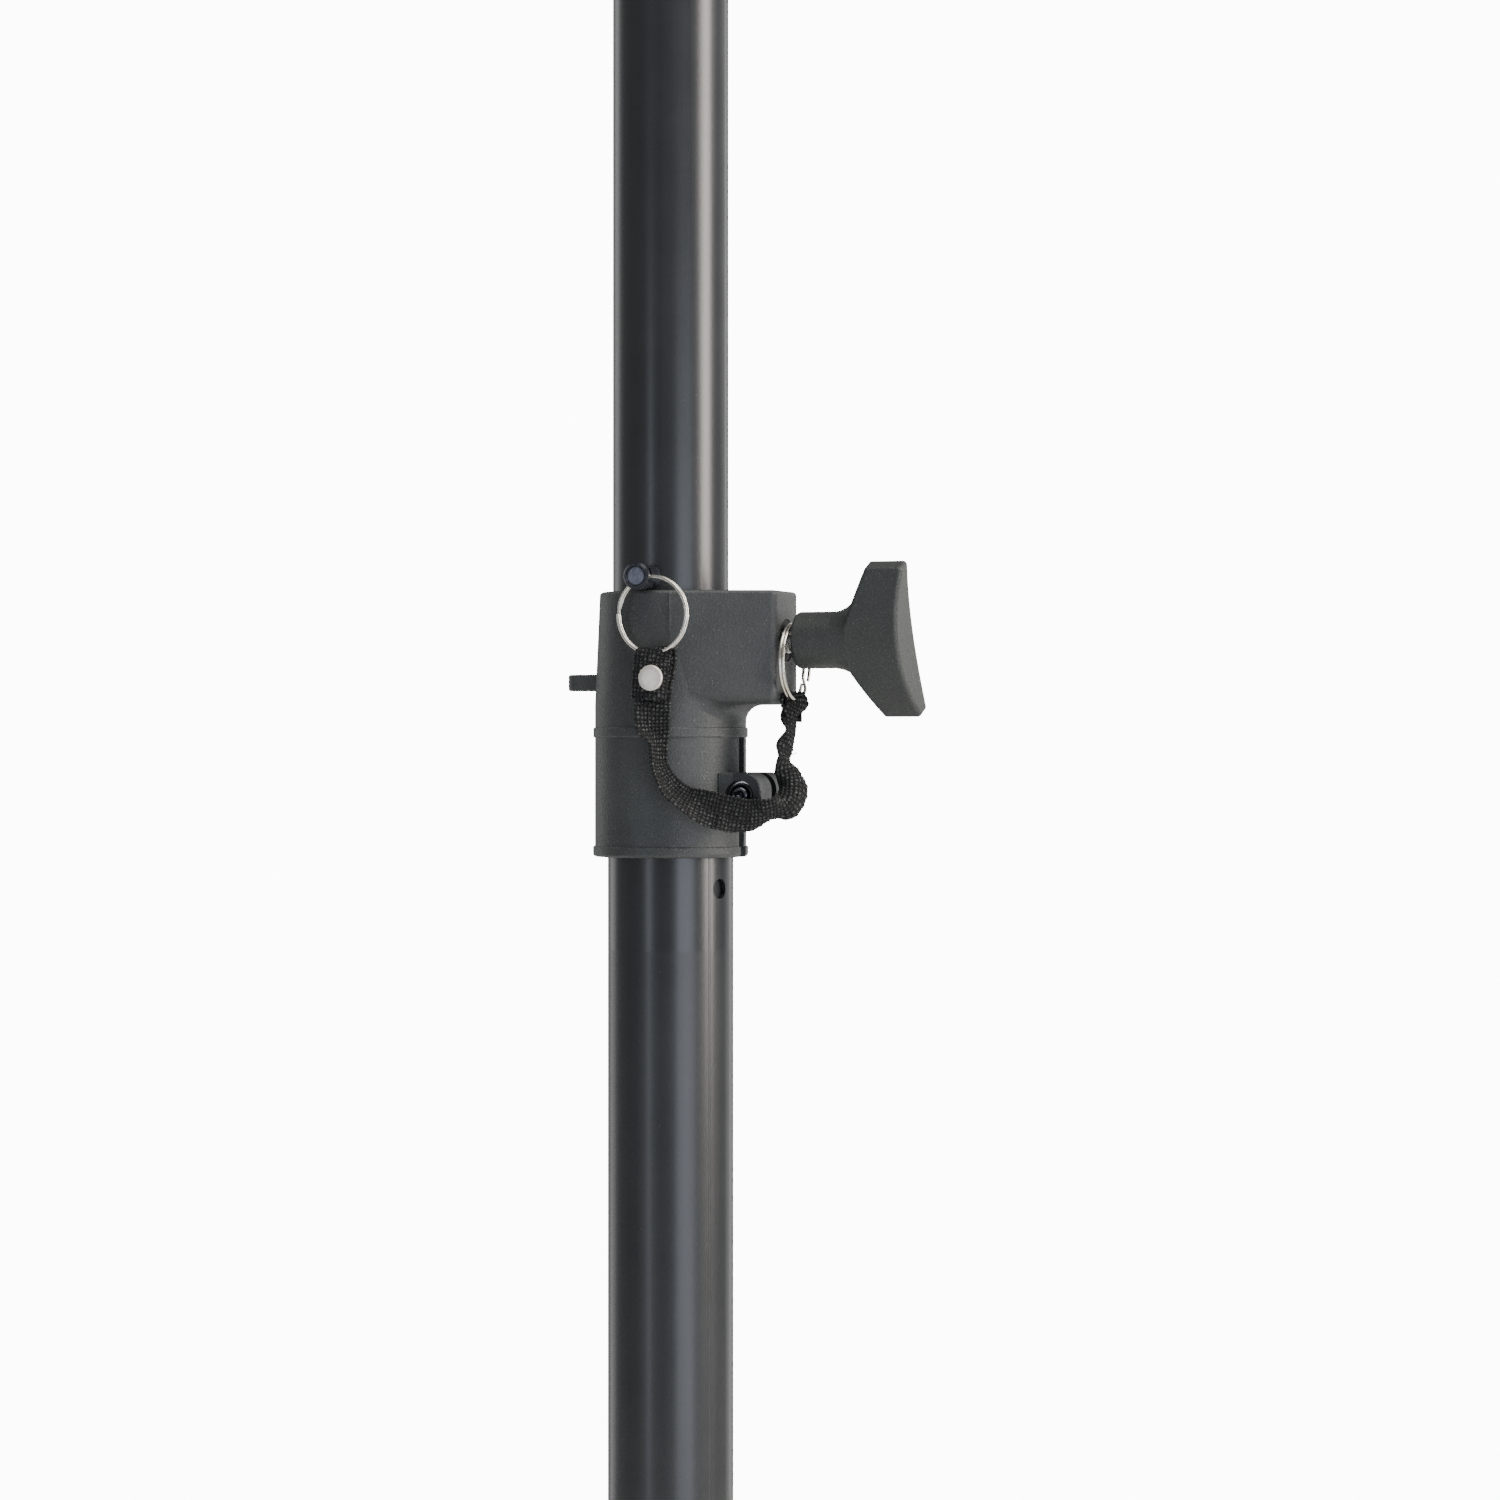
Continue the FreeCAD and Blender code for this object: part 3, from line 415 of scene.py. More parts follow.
def split_ring(name, node, axis, up, open_turn, shift, prised=0.0):
    """A split ring: two turns of flattened wire side by side, with a step sideways between them.

    Its turns stand apart by twice prised on the side away from the camera.
    """
    low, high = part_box(node)
    centre = (low + high) / 2 + shift
    size = high - low
    radius = max(size) / 2 - WIRE_HALF_HEIGHT - RING_SHY
    side = axis.cross(up)
    total = 4 * math.pi - RING_END_GAP
    steps = RING_TURN_STEPS * 2
    points = []
    for step in range(steps + 1):
        turn = total * step / steps
        past = (turn - 2 * math.pi + RING_JOG / 2) / RING_JOG
        angle = turn + open_turn
        outward = side * math.cos(angle) + up * math.sin(angle)
        apart = WIRE_HALF_DEPTH + TURN_GAP + prised * (0.5 + 0.5 * outward.y) ** 2
        offset = (eased(past) * 2 - 1) * apart
        middle = centre + outward * radius + axis * offset
        for corner in range(WIRE_SIDES):
            around = 2 * math.pi * (corner + 0.5) / WIRE_SIDES
            high_part = math.copysign(abs(math.sin(around)) ** WIRE_FLATNESS, math.sin(around))
            deep_part = math.copysign(abs(math.cos(around)) ** WIRE_FLATNESS, math.cos(around))
            point = middle + outward * (high_part * WIRE_HALF_HEIGHT)
            points.append(point + axis * (deep_part * WIRE_HALF_DEPTH))
    # The wire's corners go round it the other way, so every face is turned over.
    faces = [(a, d, c, b) for a, b, c, d in ring_faces(WIRE_SIDES, steps + 1)]
    faces += [face[::-1] for face in end_faces(WIRE_SIDES, steps + 1)]
    return new_mesh(name, points, faces)


LATHE_SIDES = 64
ROUND_STEPS = 6  # steps of a rounded edge
CORE = 0.05 * MM  # the smallest radius of a turned profile; a small flat face closes it
RIVET_SHIFT = 0.5 * MM  # the rivet sits a little to the knob's side of its plain solid
RIVET_SHANK = 1.5 * MM
RIVET_HEAD_DEPTH = 1.3 * MM
BOLT_SHANK = 2.5 * MM
TIP_CHAMFER = 0.6 * MM
HEAD_DEPTH = 2.6 * MM
FLANGE_WIDTH = 0.85 * MM
BUTTON_FOOT = 0.85 * MM  # where the button starts above the flange's underside
SOCKET_RADIUS = 1.5 * MM
SOCKET_CHAMFER = 0.25 * MM
SOCKET_DEPTH = 1.5 * MM
SOCKET_POINT = 0.4 * MM  # depth of the cone at the socket's foot


def lathe(name, profile, place):
    """A turned piece: profile is (radius, distance) pairs along the placed matrix's own Z."""
    points = []
    for radius, along in profile:
        for side in range(LATHE_SIDES):
            turn = 2 * math.pi * side / LATHE_SIDES
            points.append(place @ Vector((radius * math.cos(turn), radius * math.sin(turn), along)))
    levels = len(profile)
    return new_mesh(name, points, ring_faces(LATHE_SIDES, levels) + end_faces(LATHE_SIDES, levels))


def facing(origin, direction):
    """A matrix whose own Z points along direction from origin."""
    return Matrix.Translation(origin) @ direction.to_track_quat("Z", "Y").to_matrix().to_4x4()


def rounded(radius, start, end, round_by):
    """Profile points of a disc's rim, rounded where it ends."""
    points = [(radius, start)]
    for step in range(ROUND_STEPS + 1):
        turn = math.pi / 2 * step / ROUND_STEPS
        points.append((radius - round_by * (1 - math.cos(turn)), end - round_by * (1 - math.sin(turn))))
    return points


def domed(radius, end, rise, parts):
    """Profile points of a low dome, at the given parts of its radius."""
    return [(radius * part, end - rise * part**2) for part in parts]


def across_middle(node, shift=0.0):
    """The middle of a node that lies along Y, at y 0, and its radius."""
    low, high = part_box(node)
    return Vector(((low.x + high.x) / 2 + shift, 0, (low.z + high.z) / 2)), (high.x - low.x) / 2


def rivet_head():
    """The rivet's polished front, with the shank that goes through the doubled webbing."""
    low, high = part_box("lanyard_rivet")
    centre, radius = across_middle("lanyard_rivet", RIVET_SHIFT)
    back, front = -high.y, -low.y
    under = front - RIVET_HEAD_DEPTH
    profile = [(CORE, back), (RIVET_SHANK, back), (RIVET_SHANK, under), (radius - 0.15 * MM, under)]
    profile += rounded(radius, under + 0.15 * MM, front - 0.2 * MM, 0.55 * MM)
    profile += domed(radius, front, 0.16 * MM, (0.8, 0.6, 0.4, 0.2, 0.05))
    return lathe("rivet_front", profile, facing(centre, Vector((0, -1, 0))))


def rivet_back():
    """The rivet's low cap behind the webbing."""
    low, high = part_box("lanyard_rivet_back")
    centre, radius = across_middle("lanyard_rivet_back", RIVET_SHIFT)
    profile = [(CORE, low.y)] + rounded(radius, low.y, high.y - 0.12 * MM, 0.4 * MM)
    profile += domed(radius, high.y, 0.1 * MM, (0.7, 0.45, 0.2, 0.05))
    return lathe("rivet_cap", profile, facing(centre, Vector((0, 1, 0))))


def ear_bolt():
    """A flanged button-head screw with a round socket, from its tip in the nut to its head's face."""
    low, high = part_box("clamp_bolt")
    centre, flange = across_middle("clamp_bolt")
    back, front = -high.y, -low.y
    under = front - HEAD_DEPTH
    button = flange - FLANGE_WIDTH
    brim = SOCKET_RADIUS + SOCKET_CHAMFER
    profile = [(CORE, back), (BOLT_SHANK - TIP_CHAMFER, back), (BOLT_SHANK, back + TIP_CHAMFER)]
    profile += [(BOLT_SHANK, under)] + rounded(flange, under, under + 0.75 * MM, 0.35 * MM)
    profile.append((button, under + 0.80 * MM))
    for step in range(ROUND_STEPS + 1):
        turn = math.pi / 2 * step / ROUND_STEPS
        wide = brim + (button - brim) * math.cos(turn)
        profile.append((wide, under + BUTTON_FOOT + (HEAD_DEPTH - BUTTON_FOOT) * math.sin(turn)))
    profile += [(SOCKET_RADIUS, front - SOCKET_CHAMFER), (SOCKET_RADIUS, front - SOCKET_DEPTH)]
    profile.append((CORE, front - SOCKET_DEPTH - SOCKET_POINT))
    return lathe("ear_bolt", profile, facing(centre, Vector((0, -1, 0))))


PIN_RING_LEAN = math.radians(7)
PIN_RING_OPEN = math.radians(8)
PIN_RING_SHIFT = Vector((0.9 * MM, 0, -0.9 * MM))
KNOB_RING_OPEN = math.radians(215)
KNOB_RING_SHIFT = Vector((0.3 * MM, 0, 0))
KNOB_RING_PRISED = 0.45 * MM

pin_ring_axis = Vector((-math.sin(PIN_RING_LEAN), -math.cos(PIN_RING_LEAN), 0))
pin_split_ring = split_ring(
    "pin_split_ring", "pin_ring", pin_ring_axis, UP, PIN_RING_OPEN, PIN_RING_SHIFT
)
knob_split_ring = split_ring(
    "knob_split_ring", "knob_ring", Vector((1, 0, 0)), UP, KNOB_RING_OPEN, KNOB_RING_SHIFT,
    KNOB_RING_PRISED,
)
rivet_front = rivet_head()
rivet_cap = rivet_back()
clamp_screw = ear_bolt()

# ---------------------------------------------------------------- threads

THREAD_STEPS = 8  # mesh rows to each pitch
THREAD_SIDES = 72
THREAD_DEPTH = 0.61  # as a part of the pitch
THREAD_PEAK = 1.25  # height of the pointed ridge that the crest is cut from, in thread depths
THREAD_SLOPE = 3.2  # how steeply the ridge falls, in thread depths to each pitch
THREAD_SHY = 0.02 * MM  # how much smaller in radius than the plain cylinder
STUD_PITCH = 2.5 * MM
STUD_BEVEL = 1.6 * MM
STUD_NECK = 1.0 * MM  # how much narrower the plain neck in the plug is
SCREW_PITCH = 1.25 * MM
SCREW_BEVEL = 1.0 * MM


def threaded_rod(name, radius, pitch, start, end, bevel, place, plain=()):
    """A rod with a cut thread from start to end; plain lists (radius, distance) pairs that follow."""
    depth = THREAD_DEPTH * pitch
    rows = round((end - start) / pitch * THREAD_STEPS)
    points = []
    for row in range(rows + 1):
        along = start + (end - start) * row / rows
        into = min(along - start, bevel)
        for side in range(THREAD_SIDES):
            turn = side / THREAD_SIDES
            phase = (along / pitch - turn) % 1
            flank = min(max(THREAD_PEAK - abs(phase - 0.5) * THREAD_SLOPE, 0), 1)
            crest = min(radius - depth * (1 - flank), radius - bevel + into)
            around = turn * 2 * math.pi
            points.append(place @ Vector((crest * math.cos(around), crest * math.sin(around), along)))
    for wide, along in plain:
        for side in range(THREAD_SIDES):
            around = side / THREAD_SIDES * 2 * math.pi
            points.append(place @ Vector((wide * math.cos(around), wide * math.sin(around), along)))
    levels = len(points) // THREAD_SIDES
    return new_mesh(name, points, ring_faces(THREAD_SIDES, levels) + end_faces(THREAD_SIDES, levels))


def base_thread():
    """The M20 stud under the pole, with its plain neck inside the base plug."""
    low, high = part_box("base_stud")
    radius = (high.x - low.x) / 2
    seat = 0.0
    neck = [(radius - STUD_NECK, seat), (radius - STUD_NECK, high.z)]
    return threaded_rod(
        "base_thread", radius - THREAD_SHY, STUD_PITCH, low.z, seat, STUD_BEVEL, Matrix.Identity(4), neck
    )


def knob_thread():
    """The knob's M8 screw."""
    low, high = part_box("knob_screw")
    radius = (high.z - low.z) / 2
    along_knob = facing(Vector((0, 0, (low.z + high.z) / 2)), Vector((1, 0, 0)))
    return threaded_rod(
        "knob_thread", radius - THREAD_SHY, SCREW_PITCH, low.x, high.x, SCREW_BEVEL, along_knob
    )


stud_thread = base_thread()
screw_thread = knob_thread()

# ---------------------------------------------------------------- finishes

pin_low, pin_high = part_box("locking_pin")
PIN_END = pin_low.y + 0.42 * MM  # just behind the pin's cut end
PIN_RADIUS = (pin_high.x - pin_low.x) / 2
PIN_AXIS = (pin_low.x + PIN_RADIUS, 0, (pin_low.z + pin_high.z) / 2)
PIN_BARE = 2.45 * MM  # radius of the uncoated middle of the cut end, which carries a painted bluish reflection
PIN_RIM = 2.6 * MM  # radius where its black rim starts
# Where the painted shade on the clamp's ears starts, out along X, and where it ends, up along Z.
EAR_ROOT = 24.0 * MM
EAR_TOP = CLAMP + 26.0 * MM
SEAM_TURN = VIEW_TURN - math.pi / 2 + math.radians(38.6)
SCUFF_DROP = 28 * MM  # how far below the clamp the paint's gloss changes
SOFT_STEP = 0.4 * MM  # half the height over which it changes

PAINT_BLACK, PAINT_WORN = (0.0105, 0.0115, 0.0135), (0.0170, 0.0180, 0.0200)
SEAM_GREY = (0.05, 0.052, 0.058)
DUST_GREY = (0.10, 0.10, 0.105)
COLLAR_DARK, COLLAR_LIGHT = (0.0365, 0.0392, 0.0390), (0.0510, 0.0545, 0.0535)
KNOB_DARK, KNOB_LIGHT = (0.0305, 0.0330, 0.0308), (0.041, 0.0445, 0.0412)
GRAIN_GREY, FLECK_GREY = (0.115, 0.125, 0.125), (0.20, 0.21, 0.20)
RUBBED_EDGE_AND_HIGHLIGHT = (0.17, 0.175, 0.165)
EAR_PAINTED_SHADE = (0.0105, 0.012, 0.014)
OXIDE_BLACK, OXIDE_RUBBED = (0.012, 0.013, 0.018), (0.11, 0.12, 0.16)
BARE_AND_REFLECTION_DARK, BARE_AND_REFLECTION_LIGHT = (0.055, 0.058, 0.082), (0.135, 0.141, 0.180)
YARN_BLACK, YARN_SHEEN = (0.0012, 0.0013, 0.0014), (0.0058, 0.0060, 0.0062)
KNOT_PAINTED_GLINT = (0.078, 0.081, 0.083)
LINT_GREY = (0.13, 0.13, 0.125)


class Finish:
    """A material being wired up; each method adds nodes and returns an output to use further on.

    The scale of a noise or of cells is how often it repeats in a metre, or in a rib of the weave.
    """

    def __init__(self, name, **shader):
        self.material = bpy.data.materials.new(name)
        self.material.use_nodes = True
        self.tree = self.material.node_tree
        self.shader = self.tree.nodes["Principled BSDF"]
        coordinates = self.tree.nodes.new("ShaderNodeTexCoord")
        self.place = coordinates.outputs["Object"]
        self.weave = coordinates.outputs["UV"]
        for socket, value in shader.items():
            self.shader.inputs[socket.replace("_", " ")].default_value = value

    def node(self, kind, values=None, **settings):
        """A new node; values go to its inputs, as links or as plain values."""
        item = self.tree.nodes.new(kind)
        for name, setting in settings.items():
            setattr(item, name, setting)
        for socket, value in (values or {}).items():
            if isinstance(value, bpy.types.NodeSocket):
                self.tree.links.new(value, item.inputs[socket])
            else:
                item.inputs[socket].default_value = value
        return item

    def drive(self, socket, output):
        """Links an output to the shader."""
        self.tree.links.new(output, self.shader.inputs[socket])

    def stretched(self, x, y, z, source=None):
        """Coordinates scaled unevenly, for grain that runs one way."""
        values = {"Vector": source or self.place, "Scale": (x, y, z)}
        return self.node("ShaderNodeMapping", values).outputs["Vector"]

    def noise(self, scale, detail=3.0, rough=0.55, source=None):
        values = {"Vector": source or self.place, "Scale": scale, "Detail": detail, "Roughness": rough}
        return self.node("ShaderNodeTexNoise", values).outputs["Fac"]

    def cells(self, scale, source=None, feature="F1"):
        """Distance to the nearest cell's middle, or to its edge."""
        values = {"Vector": source or self.place, "Scale": scale}
        return self.node("ShaderNodeTexVoronoi", values, feature=feature).outputs["Distance"]

    def spread(self, value, low, high, start=0.0, end=1.0):
        """Maps low..high to start..end, and holds it there outside."""
        values = {"Value": value, "From Min": low, "From Max": high, "To Min": start, "To Max": end}
        return self.node("ShaderNodeMapRange", values).outputs["Result"]

    def math(self, operation, first, second=0.0):
        return self.node("ShaderNodeMath", {0: first, 1: second}, operation=operation).outputs[0]

    def vectors(self, operation, first, second=(0, 0, 0), output="Vector"):
        values = {0: first, 1: second}
        return self.node("ShaderNodeVectorMath", values, operation=operation).outputs[output]

    def tint(self, share, first, second):
        """A colour between two, by share."""
        mix = self.node("ShaderNodeMix", {0: share}, data_type="RGBA")
        for number, colour in ((6, first), (7, second)):
            if isinstance(colour, bpy.types.NodeSocket):
                self.tree.links.new(colour, mix.inputs[number])
            else:
                mix.inputs[number].default_value = (*colour, 1)
        return mix.outputs[2]

    def relief(self, height, depth, strength, under=None):
        """A bump of the given depth, on top of another where under is given."""
        values = {"Height": height, "Distance": depth, "Strength": strength}
        if under is not None:
            values["Normal"] = under
        return self.node("ShaderNodeBump", values).outputs["Normal"]

    def axis(self, name):
        """One coordinate of the place, in metres."""
        return self.node("ShaderNodeSeparateXYZ", {0: self.place}).outputs[name]


def painted_tube(name, scuff_below=None, seam=None):
    """Satin black powder coat with faint drawn lines, fine orange peel and a few dust specks."""
    finish = Finish(name, Metallic=0.0, Specular_IOR_Level=0.55, Coat_Weight=0.25, Coat_Roughness=0.22)
    lines = finish.noise(260, 2, 0.6, finish.stretched(1, 1, 0.012))
    peel = finish.noise(2600, 2)
    wear = finish.noise(38, 5, 0.62)
    specks = finish.spread(finish.cells(310), 0.030, 0.055, 1, 0)
    patchy = finish.math("MULTIPLY", specks, finish.spread(finish.noise(17, 2), 0.52, 0.60))
    dark = finish.tint(finish.spread(wear, 0.35, 0.7), PAINT_BLACK, PAINT_WORN)
    if seam is not None:
        angle = finish.math("ARCTAN2", finish.axis("Y"), finish.axis("X"))
        away = finish.math("ABSOLUTE", finish.math("SUBTRACT", angle, seam))
        line = finish.spread(away, 0.006, 0.022, 1, 0)
        dark = finish.tint(finish.math("MULTIPLY", line, 0.35), dark, SEAM_GREY)
    finish.drive("Base Color", finish.tint(patchy, dark, DUST_GREY))
    rough = finish.spread(lines, 0.3, 0.7, 0.27, 0.35)
    if scuff_below is not None:
        below = finish.spread(finish.axis("Z"), scuff_below - SOFT_STEP, scuff_below + SOFT_STEP, 1, 0)
        rough = finish.math("ADD", rough, finish.math("MULTIPLY", below, 0.06))
    finish.drive("Roughness", rough)
    height = finish.math("ADD", finish.math("MULTIPLY", peel, 0.5), lines)
    bump = finish.relief(height, 0.00003, 0.35)
    if seam is not None:
        bump = finish.relief(line, 0.00012, 0.5, bump)
    finish.drive("Normal", bump)
    return finish.material


def moulded(name, light, dark, rough=0.46, ears=False):
    """Glass-filled nylon: fine leathery grain, faint light specks, and slightly polished edges lightened
    partly by wear and partly as a painted highlight; with ears set, painted shade on the ears' faces.
    """
    finish = Finish(name, Specular_IOR_Level=0.42)
    grain = finish.cells(1500)
    fine = finish.noise(3400, 2)
    cloud = finish.noise(55, 4, 0.6)
    body = finish.tint(finish.spread(cloud, 0.3, 0.72), dark, light)
    specks = finish.spread(finish.cells(900), 0.08, 0.20, 1, 0)
    rare = finish.math("MULTIPLY", specks, finish.spread(finish.noise(420, 2), 0.52, 0.60))
    dense = finish.spread(finish.cells(1750), 0.16, 0.40, 1, 0)
    grainy = finish.tint(finish.math("MULTIPLY", dense, 0.30), body, GRAIN_GREY)
    flecked = finish.tint(finish.math("MULTIPLY", rare, 0.55), grainy, FLECK_GREY)
    bevel = finish.node("ShaderNodeBevel", {"Radius": 0.0009}, samples=4).outputs["Normal"]
    flat = finish.node("ShaderNodeNewGeometry").outputs["True Normal"]
    agree = finish.vectors("DOT_PRODUCT", bevel, flat, "Value")
    edge = finish.spread(agree, 0.86, 0.992, 1, 0)
    # Edges lightened partly as wear and partly as a painted highlight; the same mask makes them a little
    # glossier.
    worn_edge_and_highlight = finish.math("MULTIPLY", edge, finish.spread(finish.noise(300, 4, 0.7), 0.35, 0.65))
    surface = finish.tint(finish.math("MULTIPLY", worn_edge_and_highlight, 0.5), flecked, RUBBED_EDGE_AND_HIGHLIGHT)
    mottled = finish.spread(cloud, 0.3, 0.7, rough - 0.03, rough + 0.05)
    # Painted shade: the ears' faces are painted a deeper black and made a little glossier, while their
    # tops stay as the rest of the collar.
    if ears:
        outer = finish.spread(finish.axis("X"), EAR_ROOT, EAR_ROOT + 0.8 * MM)
        low = finish.spread(finish.axis("Z"), EAR_TOP, EAR_TOP + 0.5 * MM, 1, 0)
        shown_ear = finish.math("MULTIPLY", outer, low)
        mottled = finish.math("SUBTRACT", mottled, finish.math("MULTIPLY", shown_ear, 0.06))
        painted_ear_shade = finish.math("MULTIPLY", shown_ear, 0.85)
        surface = finish.tint(painted_ear_shade, surface, EAR_PAINTED_SHADE)
    finish.drive("Base Color", surface)
    finish.drive("Roughness", finish.math("SUBTRACT", mottled, finish.math("MULTIPLY", worn_edge_and_highlight, 0.08)))
    height = finish.math("ADD", grain, finish.math("MULTIPLY", fine, 0.6))
    finish.drive("Normal", finish.relief(height, 0.00010, 0.75))
    return finish.material


def plain_plastic(name, light, dark, rough):
    """A turned or moulded plain plastic with soft tool marks."""
    finish = Finish(name, Specular_IOR_Level=0.5)
    cloud = finish.noise(120, 4, 0.6)
    marks = finish.noise(900, 2, 0.5, finish.stretched(0.15, 0.15, 3))
    finish.drive("Base Color", finish.tint(finish.spread(cloud, 0.3, 0.7), dark, light))
    finish.drive("Roughness", finish.spread(marks, 0.3, 0.7, rough - 0.05, rough + 0.07))
    finish.drive("Normal", finish.relief(marks, 0.00003, 0.4))
    return finish.material


def metal(name, light, dark, rough, brushed, streak=(1, 1, 1), depth=0.6, metallic=1.0):
    """A bare or plated metal with fine streaks, stains and small scratches."""
    finish = Finish(name, Metallic=metallic)
    streaks = finish.noise(brushed, 3, 0.6, finish.stretched(*streak))
    stain = finish.noise(160, 5, 0.65)
    scratches = finish.cells(420, finish.stretched(1, 1, 0.12), "DISTANCE_TO_EDGE")
    scratch = finish.spread(scratches, 0.0, 0.03, 1, 0)
    finish.drive("Base Color", finish.tint(finish.spread(stain, 0.32, 0.7), light, dark))
    varied = finish.spread(streaks, 0.3, 0.7, rough - 0.05, rough + 0.09)
    finish.drive("Roughness", finish.math("ADD", varied, finish.math("MULTIPLY", scratch, 0.06)))
    height = finish.math("SUBTRACT", streaks, finish.math("MULTIPLY", scratch, 0.4))
    finish.drive("Normal", finish.relief(height, 0.000015, depth))
    return finish.material


def black_oxide(name):
    """Glossy black steel, with handling marks that show grey; the pin's cut end is uncoated steel with a
    painted bluish reflection.
    """
    finish = Finish(name, Metallic=0.0, Specular_IOR_Level=0.7, Coat_Weight=0.6, Coat_Roughness=0.06)
    marks = finish.noise(420, 5, 0.7)
    rubs = finish.spread(marks, 0.56, 0.68)
    black = finish.tint(finish.math("MULTIPLY", rubs, 0.5), OXIDE_BLACK, OXIDE_RUBBED)
    near_end = finish.spread(finish.axis("Y"), PIN_END, PIN_END + 0.1 * MM, 1, 0)
    off_axis = finish.vectors("SUBTRACT", finish.place, PIN_AXIS)
    flat = finish.vectors("MULTIPLY", off_axis, (1, 0, 1))
    out = finish.vectors("LENGTH", flat, output="Value")
    cut_end = finish.math("MULTIPLY", near_end, finish.spread(out, PIN_BARE, PIN_RIM, 1, 0))
    # Painted reflection: the cut end's uncoated middle is painted a light bluish grey, standing in for
    # the bluish light it mirrors.
    bare_and_reflection = finish.tint(finish.spread(marks, 0.4, 0.6), BARE_AND_REFLECTION_DARK, BARE_AND_REFLECTION_LIGHT)
    finish.drive("Coat Weight", finish.spread(near_end, 0, 1, 0.6, 0))
    finish.drive("Specular IOR Level", finish.spread(near_end, 0, 1, 0.7, 0.2))
    finish.drive("Base Color", finish.tint(cut_end, black, bare_and_reflection))
    finish.drive("Roughness", finish.spread(marks, 0.35, 0.65, 0.16, 0.34))
    finish.drive("Normal", finish.relief(finish.noise(900, 2), 0.00002, 0.4))
    return finish.material


def woven(name):
    """Black polyester webbing: painted grey glints on the crowns of its knots, matt black gaps and a
    little lint.
    """
    finish = Finish(name, Specular_IOR_Level=0.35)
    drift = {"Vector": finish.weave, "Scale": 0.9, "Detail": 2.0}
    drift = finish.node("ShaderNodeTexNoise", drift).outputs["Color"]
    uneven = finish.vectors("ADD", finish.weave, finish.vectors("MULTIPLY", drift, (0.9,) * 3))
    turns = finish.vectors("MULTIPLY", uneven, (math.pi,) * 3)
    waves = finish.node("ShaderNodeSeparateXYZ", {0: turns})
    rows = finish.math("ABSOLUTE", finish.math("SINE", waves.outputs["X"]))
    columns = finish.math("ABSOLUTE", finish.math("SINE", waves.outputs["Y"]))
    knots = finish.math("MULTIPLY", rows, columns)
    fibres = finish.noise(2.2, 3, 0.65, finish.stretched(1.0, 6.0, 1.0, finish.weave))
    corner = finish.vectors("FLOOR", uneven)
    chance = finish.node("ShaderNodeTexWhiteNoise", {"Vector": corner}).outputs["Value"]
    lint = finish.spread(finish.noise(900, 3, 0.7), 0.67, 0.75)
    yarn = finish.tint(finish.spread(fibres, 0.35, 0.68), YARN_BLACK, YARN_SHEEN)
    # Painted glints: the crowns of the knots are lightened, more in some cells than in others.
    crown = finish.spread(knots, 0.40, 0.95)
    painted_glint = finish.math("MULTIPLY", crown, finish.spread(chance, 0.30, 1.0, 0.12, 1))
    shade = finish.tint(painted_glint, yarn, KNOT_PAINTED_GLINT)
    finish.drive("Base Color", finish.tint(finish.math("MULTIPLY", lint, 0.35), shade, LINT_GREY))
    finish.drive("Roughness", finish.spread(knots, 0.2, 0.8, 0.85, 0.45))
    height = finish.math("ADD", fibres, finish.math("MULTIPLY", knots, 1.6))
    finish.drive("Normal", finish.relief(height, 0.00018, 0.8))
    return finish.material


def washed_floor(name):
    """A pale floor with a faint cloudiness."""
    finish = Finish(name, Specular_IOR_Level=0.2)
    cloud = finish.noise(3, 4, 0.6)
    finish.drive("Base Color", finish.tint(cloud, (0.86, 0.86, 0.855), (0.90, 0.90, 0.895)))
    finish.drive("Roughness", finish.spread(cloud, 0.3, 0.7, 0.65, 0.75))
    return finish.material


lower_paint = painted_tube("lower_tube_paint", CLAMP - SCUFF_DROP, SEAM_TURN)
upper_paint = painted_tube("upper_tube_paint")
collar_plastic = moulded("collar_plastic", COLLAR_LIGHT, COLLAR_DARK, ears=True)
knob_plastic = moulded("knob_plastic", KNOB_LIGHT, KNOB_DARK, 0.50)
cap_plastic = plain_plastic("cap_plastic", (0.026, 0.026, 0.027), (0.018, 0.018, 0.019), 0.5)
guide_plastic = plain_plastic("guide_plastic", (0.62, 0.61, 0.57), (0.52, 0.51, 0.47), 0.38)
zinc = metal("zinc_steel", (0.62, 0.62, 0.60), (0.46, 0.46, 0.44), 0.30, 500, (1, 1, 0.2))
nickel = metal("nickel", (0.84, 0.80, 0.725), (0.68, 0.64, 0.57), 0.19, 300, depth=0.25)
satin_nickel = metal("satin_nickel", (0.80, 0.755, 0.68), (0.68, 0.635, 0.56), 0.30, 500, metallic=0.45)
brass = metal("brass", (0.74, 0.56, 0.27), (0.58, 0.42, 0.18), 0.26, 600, (1, 0.2, 0.2))
black_steel = black_oxide("black_steel")
bolt_steel = metal("bolt_steel", (0.16, 0.165, 0.18), (0.05, 0.052, 0.057), 0.24, 500)
phosphate_steel = metal("phosphate_steel", (0.050, 0.050, 0.050), (0.025, 0.025, 0.025), 0.55, 400)
webbing_finish = woven("webbing")

NODE_FINISH = {
    "lower_tube": lower_paint, "upper_tube": upper_paint,
    "base_plug": zinc, "plug_rivet_left": zinc, "plug_rivet_right": zinc,
    "top_cap": cap_plastic, "foot_plug": guide_plastic, "foot_bush": guide_plastic,
    "foot_washer": zinc, "foot_screw": zinc,
    "clamp_housing": collar_plastic, "guide_bush": guide_plastic, "thread_insert": phosphate_steel,
    "bolt_washer": zinc, "clamp_nut": zinc, "brake_shoe": brass,
    "knob_handle": knob_plastic, "locking_pin": black_steel,
}
for node_name, finish in NODE_FINISH.items():
    for material_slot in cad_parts[node_name].material_slots:
        material_slot.material = finish

# ---------------------------------------------------------------- what each piece rides on

